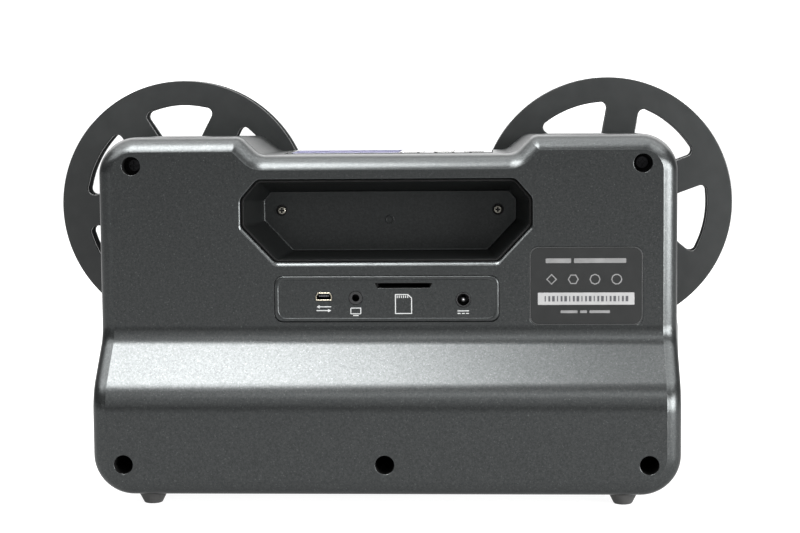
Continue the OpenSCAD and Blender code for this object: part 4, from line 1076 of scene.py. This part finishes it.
def rating_plate():
    """Dark film with a thin border and a pale strip."""
    y = LABEL_HIGH.y
    film = Skin()
    film.plate(label_outline(-FILM_IN), LABEL_LOW.y, y, (), 0, 0.1, 3)
    film.build("rating_film", label_film, "black_plastic", ["rating_plate"])
    border = Skin()
    border.plate(label_outline(0), LABEL_LOW.y, y + BORDER_RISE, [label_outline(-BORDER_IN)], 0, 0.05, 2)
    border.build("rating_border", label_edge, "shell")
    strip = Skin()
    outline = rounded(rectangle(LABEL_X, LABEL_Z - STRIP_DOWN, STRIP_W, STRIP_H), 0.2, 3)
    strip.plate(outline, y - STRIP_RISE, y + STRIP_RISE, (), 0, 0.03, 2)
    strip.build("rating_strip", label_white, "white_plastic")


def rating_marks():
    """Plain ticks, bars and outlines in place of words."""
    x, y, z = LABEL_X, LABEL_HIGH.y, LABEL_Z
    ticks = []
    for k in range(TICKS):
        width = TICK_W + TICK_MORE * (k * 7 % 3)
        ticks.append([rectangle(x + TICK_X - TICK_STEP * k, z - STRIP_DOWN, width, TICK_H)])
    printed("rating_ticks", ticks, grey_ink, y + TICK_RISE)
    marks = []
    for u, w in BARS_HIGH:
        marks.append([rounded(rectangle(x + u, z + BAR_HIGH_UP, w, BAR_HIGH_H), 0.4, 3)])
    for k in range(FIGURES):
        outline = circle(x + FIGURE_X - FIGURE_STEP * k, z + FIGURE_UP, FIGURE_R, 4 + 2 * k)
        marks.append([outline, grown(outline, -FIGURE_LINE)])
    for u, w in BARS_LOW:
        marks.append([rounded(rectangle(x + u, z - BAR_LOW_DOWN, w, BAR_LOW_H), 0.3, 3)])
    printed("rating_marks", marks, label_grey, y + PRINT_RISE)


def data_mark():
    """Two arrows that point opposite ways."""
    arrows = []
    for side in (1, -1):
        tip, v = USB_X + ARROW_REACH * side, Z_DATA_MARK + ARROW_STEP * side
        neck = tip - ARROW_HEAD * side
        head = [(tip, v), (neck, v + ARROW_HALF), (neck, v - ARROW_HALF)]
        arrows += [[head], [bar(neck, v, USB_X - ARROW_REACH * side, v, LINE_W)]]
    printed("data_mark", arrows)


def video_mark():
    """A screen on a foot."""
    outline = rounded(rectangle(AV_X, Z_VIDEO_MARK, VIDEO_W, VIDEO_H), 0.5, 4)
    z = Z_VIDEO_MARK - VIDEO_FOOT_DOWN
    foot = bar(AV_X - VIDEO_FOOT, z, AV_X + VIDEO_FOOT, z, LINE_W)
    printed("video_mark", [[outline, grown(outline, -LINE_W)], [foot]])


def card_mark():
    """A card with a cut corner and its contacts."""
    left, right = CARD_X - CARD_MARK_W / 2, CARD_X + CARD_MARK_W / 2
    top = Z_CARD_MARK + CARD_MARK_H
    card = [(left, Z_CARD_MARK), (right, Z_CARD_MARK), (right, top), (left + CARD_NOTCH, top),
            (left, top - CARD_NOTCH)]
    marks = [[card, grown(card, -LINE_W)]]
    for k in range(STRIPES):
        x = CARD_X - STRIPE_X + k
        marks.append([bar(x, top - STRIPE_FOOT, x, top - STRIPE_TOP, STRIPE_W)])
    printed("card_mark", marks)


def power_mark():
    """A line over dashes."""
    left, z = DC_X - POWER_HALF, Z_POWER_MARK + POWER_UP
    marks = [[bar(left, z, DC_X + POWER_HALF, z, LINE_W)]]
    z = Z_POWER_MARK - POWER_DOWN
    for k in range(DASHES):
        x = left + DASH_STEP * k
        marks.append([bar(x, z, x + DASH, z, LINE_W)])
    printed("power_mark", marks)


# Reels
REEL_R = 63.5
REEL_EDGE = 0.45
REEL_CREASE = radians(25)
WINDOWS = 6
SPOKE_W = 16
WINDOW_IN = 26
WINDOW_OUT = 51
WINDOW_R = 3
OUTER_STEPS = 24
INNER_STEPS = 6
REEL_BORE = 6.35
NOTCHES = 3
NOTCH_W = 2.8
NOTCH_R = 7.65
TURN = {"supply": (-1, 40), "takeup": (1, 57)}


def window_outline():
    """Opening between two spokes of even width, at angle 0."""
    share = 180 / WINDOWS
    outer = share - degrees(asin(SPOKE_W / 2 / WINDOW_OUT))
    inner = share - degrees(asin(SPOKE_W / 2 / WINDOW_IN))
    corners = arc(0, 0, WINDOW_OUT, -outer, outer, OUTER_STEPS)
    corners += arc(0, 0, WINDOW_IN, inner, -inner, INNER_STEPS)
    return rounded_ends(corners, [0, OUTER_STEPS, OUTER_STEPS + 1, len(corners) - 1], WINDOW_R)


def bore_outline():
    """Centre hole with its drive notches."""
    out = []
    step = 360 / NOTCHES
    half = degrees(asin(NOTCH_W / 2 / REEL_BORE))
    for k in range(NOTCHES):
        out += turned([(NOTCH_R, -NOTCH_W / 2), (NOTCH_R, NOTCH_W / 2)], step * k)
        out += arc(0, 0, REEL_BORE, step * k + half, step * (k + 1) - half, 12)
    return out


def reel_flange(name, node, body, side, turn):
    low, high = span(node)
    skin = Skin()
    holes = [turned(window_outline(), turn + (k + 0.5) * 360 / WINDOWS) for k in range(WINDOWS)]
    holes.append(bore_outline())
    skin.plate(circle(0, 0, REEL_R, 192), low.y, high.y, holes, REEL_EDGE, REEL_EDGE, 4)
    skin.move((side * REEL_X, 0, Z_REEL))
    skin.build(name, reel_grey, "reel_plastic", [node], body, REEL_CREASE)


def reels():
    for reel, (side, turn) in TURN.items():
        for name, node in (("flange_back", "rear_flange"), ("flange_front", "front_flange")):
            reel_flange(f"{reel}_{name}", f"{reel}_{node}", f"{reel}_reel", side, turn)


# CAD nodes that keep their shape: finish, width of the softened edges, nodes
FINISHES = (
    (black, 0.15, "av_jack dc_jack"),
    (black, 0.2, "lens_barrel lcd_module takeup_pulley"),
    (black, 0.35, "gate_base supply_lock takeup_lock"),
    (black, 0.5, "lamp_housing"),
    (gloss_black, 0.3, "control_panel"),
    (gloss_black, 0.5, "gate_door"),
    # The card slot's socket in near-black painted shade
    (hole_painted_shade, 0.1, "card_socket"),
    (black_oxide, 0.12, "cover_screws"),
    (rubber, 0.2, "drive_belt"),
    (rubber, 0.5, "rubber_feet"),
    (board, 0.05, "main_board sensor_board lamp_board key_board"),
    (glass, 0.2, "lens_glass"),
    (screen, 0.2, "screen_glass"),
    (mirror, 0.05, "fold_mirror"),
    (white, 0.1, "diffuser"),
    (steel, 0.08, "claw"),
    (steel, 0.15, "gate_hinge_pin"),
    (steel, 0.2, "camera_bracket roller_posts"),
    (steel, 0.25, "supply_spindle takeup_spindle"),
    (steel, 0.4, "takeup_motor claw_motor"),
    (brass, 0.15, "motor_pulley claw_cam"),
    (brass, 0.2, "spindle_bushes"),
    (reel_grey, 0.25, "supply_core takeup_core"),
    (key_white, 0.2, "key_power key_up key_ok key_left key_down key_right"),
    (roller_white, 0.25, "supply_roller_1 supply_roller_2 supply_roller_3"),
    (roller_white, 0.25, "takeup_roller_1 takeup_roller_2 takeup_roller_3"),
)
WELD_GAP = 1e-6
FLAT_TO = radians(1)
SOFT_FROM = radians(40)
SHARP_FROM = radians(30)


def dress(node, finish, edge):
    """Softens the edges of a CAD node and gives it a finish."""
    piece = nodes[node]
    piece.data.materials.clear()
    piece.data.materials.append(finish)
    weld = piece.modifiers.new("weld", "WELD")
    weld.merge_threshold = WELD_GAP
    flat = piece.modifiers.new("flat", "DECIMATE")
    flat.decimate_type = "DISSOLVE"
    flat.angle_limit = FLAT_TO
    soft = piece.modifiers.new("edges", "BEVEL")
    soft.width = edge * MM
    soft.segments = 2
    soft.limit_method = "ANGLE"
    soft.angle_limit = SOFT_FROM
    even_normals(piece)
    piece.data.shade_smooth()
    piece.data.set_sharp_from_angle(angle=SHARP_FROM)


def cad_nodes():
    for finish, edge, names in FINISHES:
        for node in names.split():
            dress(node, finish, edge)


# Making the pieces
rear_cover()
front_cover()
panel_dots()
grip_cup()
moulding_mark()
cup_screws()
port_plate()
data_socket()
data_tongue()
power_pin()
rating_plate()
rating_marks()
data_mark()
video_mark()
card_mark()
power_mark()
reels()
film_deck()
film_path()
key_marks()
cad_nodes()

# Stage, light and camera, in metres
FLOOR_SIZE = 60
DROP_W, DROP_H, DROP_Y = 24, 5, -9
WORLD_LIGHT = 0.3
CAMERA_AT = Vector((-57.0, 962.35, 197.4)) * MM
YAW, PITCH, ROLL = 3.1106, 5.3253, -0.4985
LENS = 88.77
SENSOR = 36
# Each light: name, place, aim, width and height, power in watts
LIGHTS = (
    ("overhead", (0.31, 0.22, 1.25), (0.1, 0.05, 0.07), (0.5, 0.6), 28),
    ("ceiling", (0, -0.58, 2.1), (0, -0.58, 0), (4.4, 1.76), 140),
    ("side", (-0.94, 0.6, 0.26), (-0.137, 0.02, 0.1), (0.55, 0.5), 28),
    ("back", (0, -1.5, 1.1), (0, 0, 0.17), (3.0, 0.8), 24),
    ("left_high", (0.97, 0.23, 1.0), (0.13, 0.03, 0.16), (0.5, 0.5), 6),
    ("right_high", (-0.78, 0.24, 1.0), (0.06, 0.03, 0.16), (0.5, 0.5), 4),
    ("left_edge", (0.9, 0.95, 0.2), (0.137, 0.02, 0.1), (0.15, 0.7), 1.0),
    ("front", (-0.05, 2.0, 1.5), (-0.05, 0.03, 0.1), (3.0, 2.0), 28),
    ("fill", (-0.15, 1.0, 1.0), (-0.05, 0.05, 0.1), (0.9, 0.25), 3),
)


def stage_sheet(name, corners, dark, light, glow):
    """A plain pale sheet that isn't part of the object."""
    mesh = bpy.data.meshes.new(name)
    mesh.from_pydata(corners, [], [(0, 1, 2, 3)])
    piece = placed(name, mesh)
    made = Finish(f"{name}_white", Roughness=0.9, Emission_Color=(1, 1, 1, 1), Emission_Strength=glow)
    made.colour(made.ramp(made.noise(3), (0.3, dark), (0.7, light)))
    mesh.materials.append(made.material)


def stage():
    floor = rectangle(0, 0, FLOOR_SIZE, FLOOR_SIZE)
    stage_sheet("floor", [(x, y, 0) for x, y in floor], dark=0.16, light=0.18, glow=0.95)
    drop = rectangle(0, DROP_H / 2, DROP_W, DROP_H)
    stage_sheet("backdrop", [(x, DROP_Y, z) for x, z in drop], dark=0.86, light=0.88, glow=0.9)


def area_light(name, place, aim, size, power):
    lamp = bpy.data.lights.new(name, "AREA")
    lamp.shape = "RECTANGLE"
    lamp.size, lamp.size_y = size
    lamp.energy = power
    piece = placed(name, lamp)
    piece.location = place
    piece.rotation_mode = "QUATERNION"
    piece.rotation_quaternion = (Vector(aim) - Vector(place)).to_track_quat("-Z", "Y")


def studio():
    world = bpy.data.worlds.new("studio")
    world.use_nodes = True
    background = world.node_tree.nodes["Background"]
    background.inputs["Color"].default_value = (1, 1, 1, 1)
    background.inputs["Strength"].default_value = WORLD_LIGHT
    scene.world = world
    for light in LIGHTS:
        area_light(*light)
    scene.view_settings.view_transform = "Standard"


def camera():
    """Camera where the photograph was taken from."""
    lens = bpy.data.cameras.new("photo_camera")
    lens.sensor_width = SENSOR
    lens.lens = LENS
    lens.clip_start, lens.clip_end = 0.01, 100
    piece = placed("photo_camera", lens)
    yaw, pitch, roll = (radians(a) for a in (YAW, PITCH, ROLL))
    ahead = Vector((sin(yaw) * cos(pitch), -cos(yaw) * cos(pitch), -sin(pitch)))
    right = ahead.cross(Vector((0, 0, 1))).normalized()
    up = right.cross(ahead)
    across = right * cos(roll) + up * sin(roll)
    above = up * cos(roll) - right * sin(roll)
    turn = Matrix((across, above, -ahead)).transposed()
    piece.matrix_world = Matrix.Translation(CAMERA_AT) @ turn.to_4x4()
    scene.camera = piece


stage()
studio()
camera()
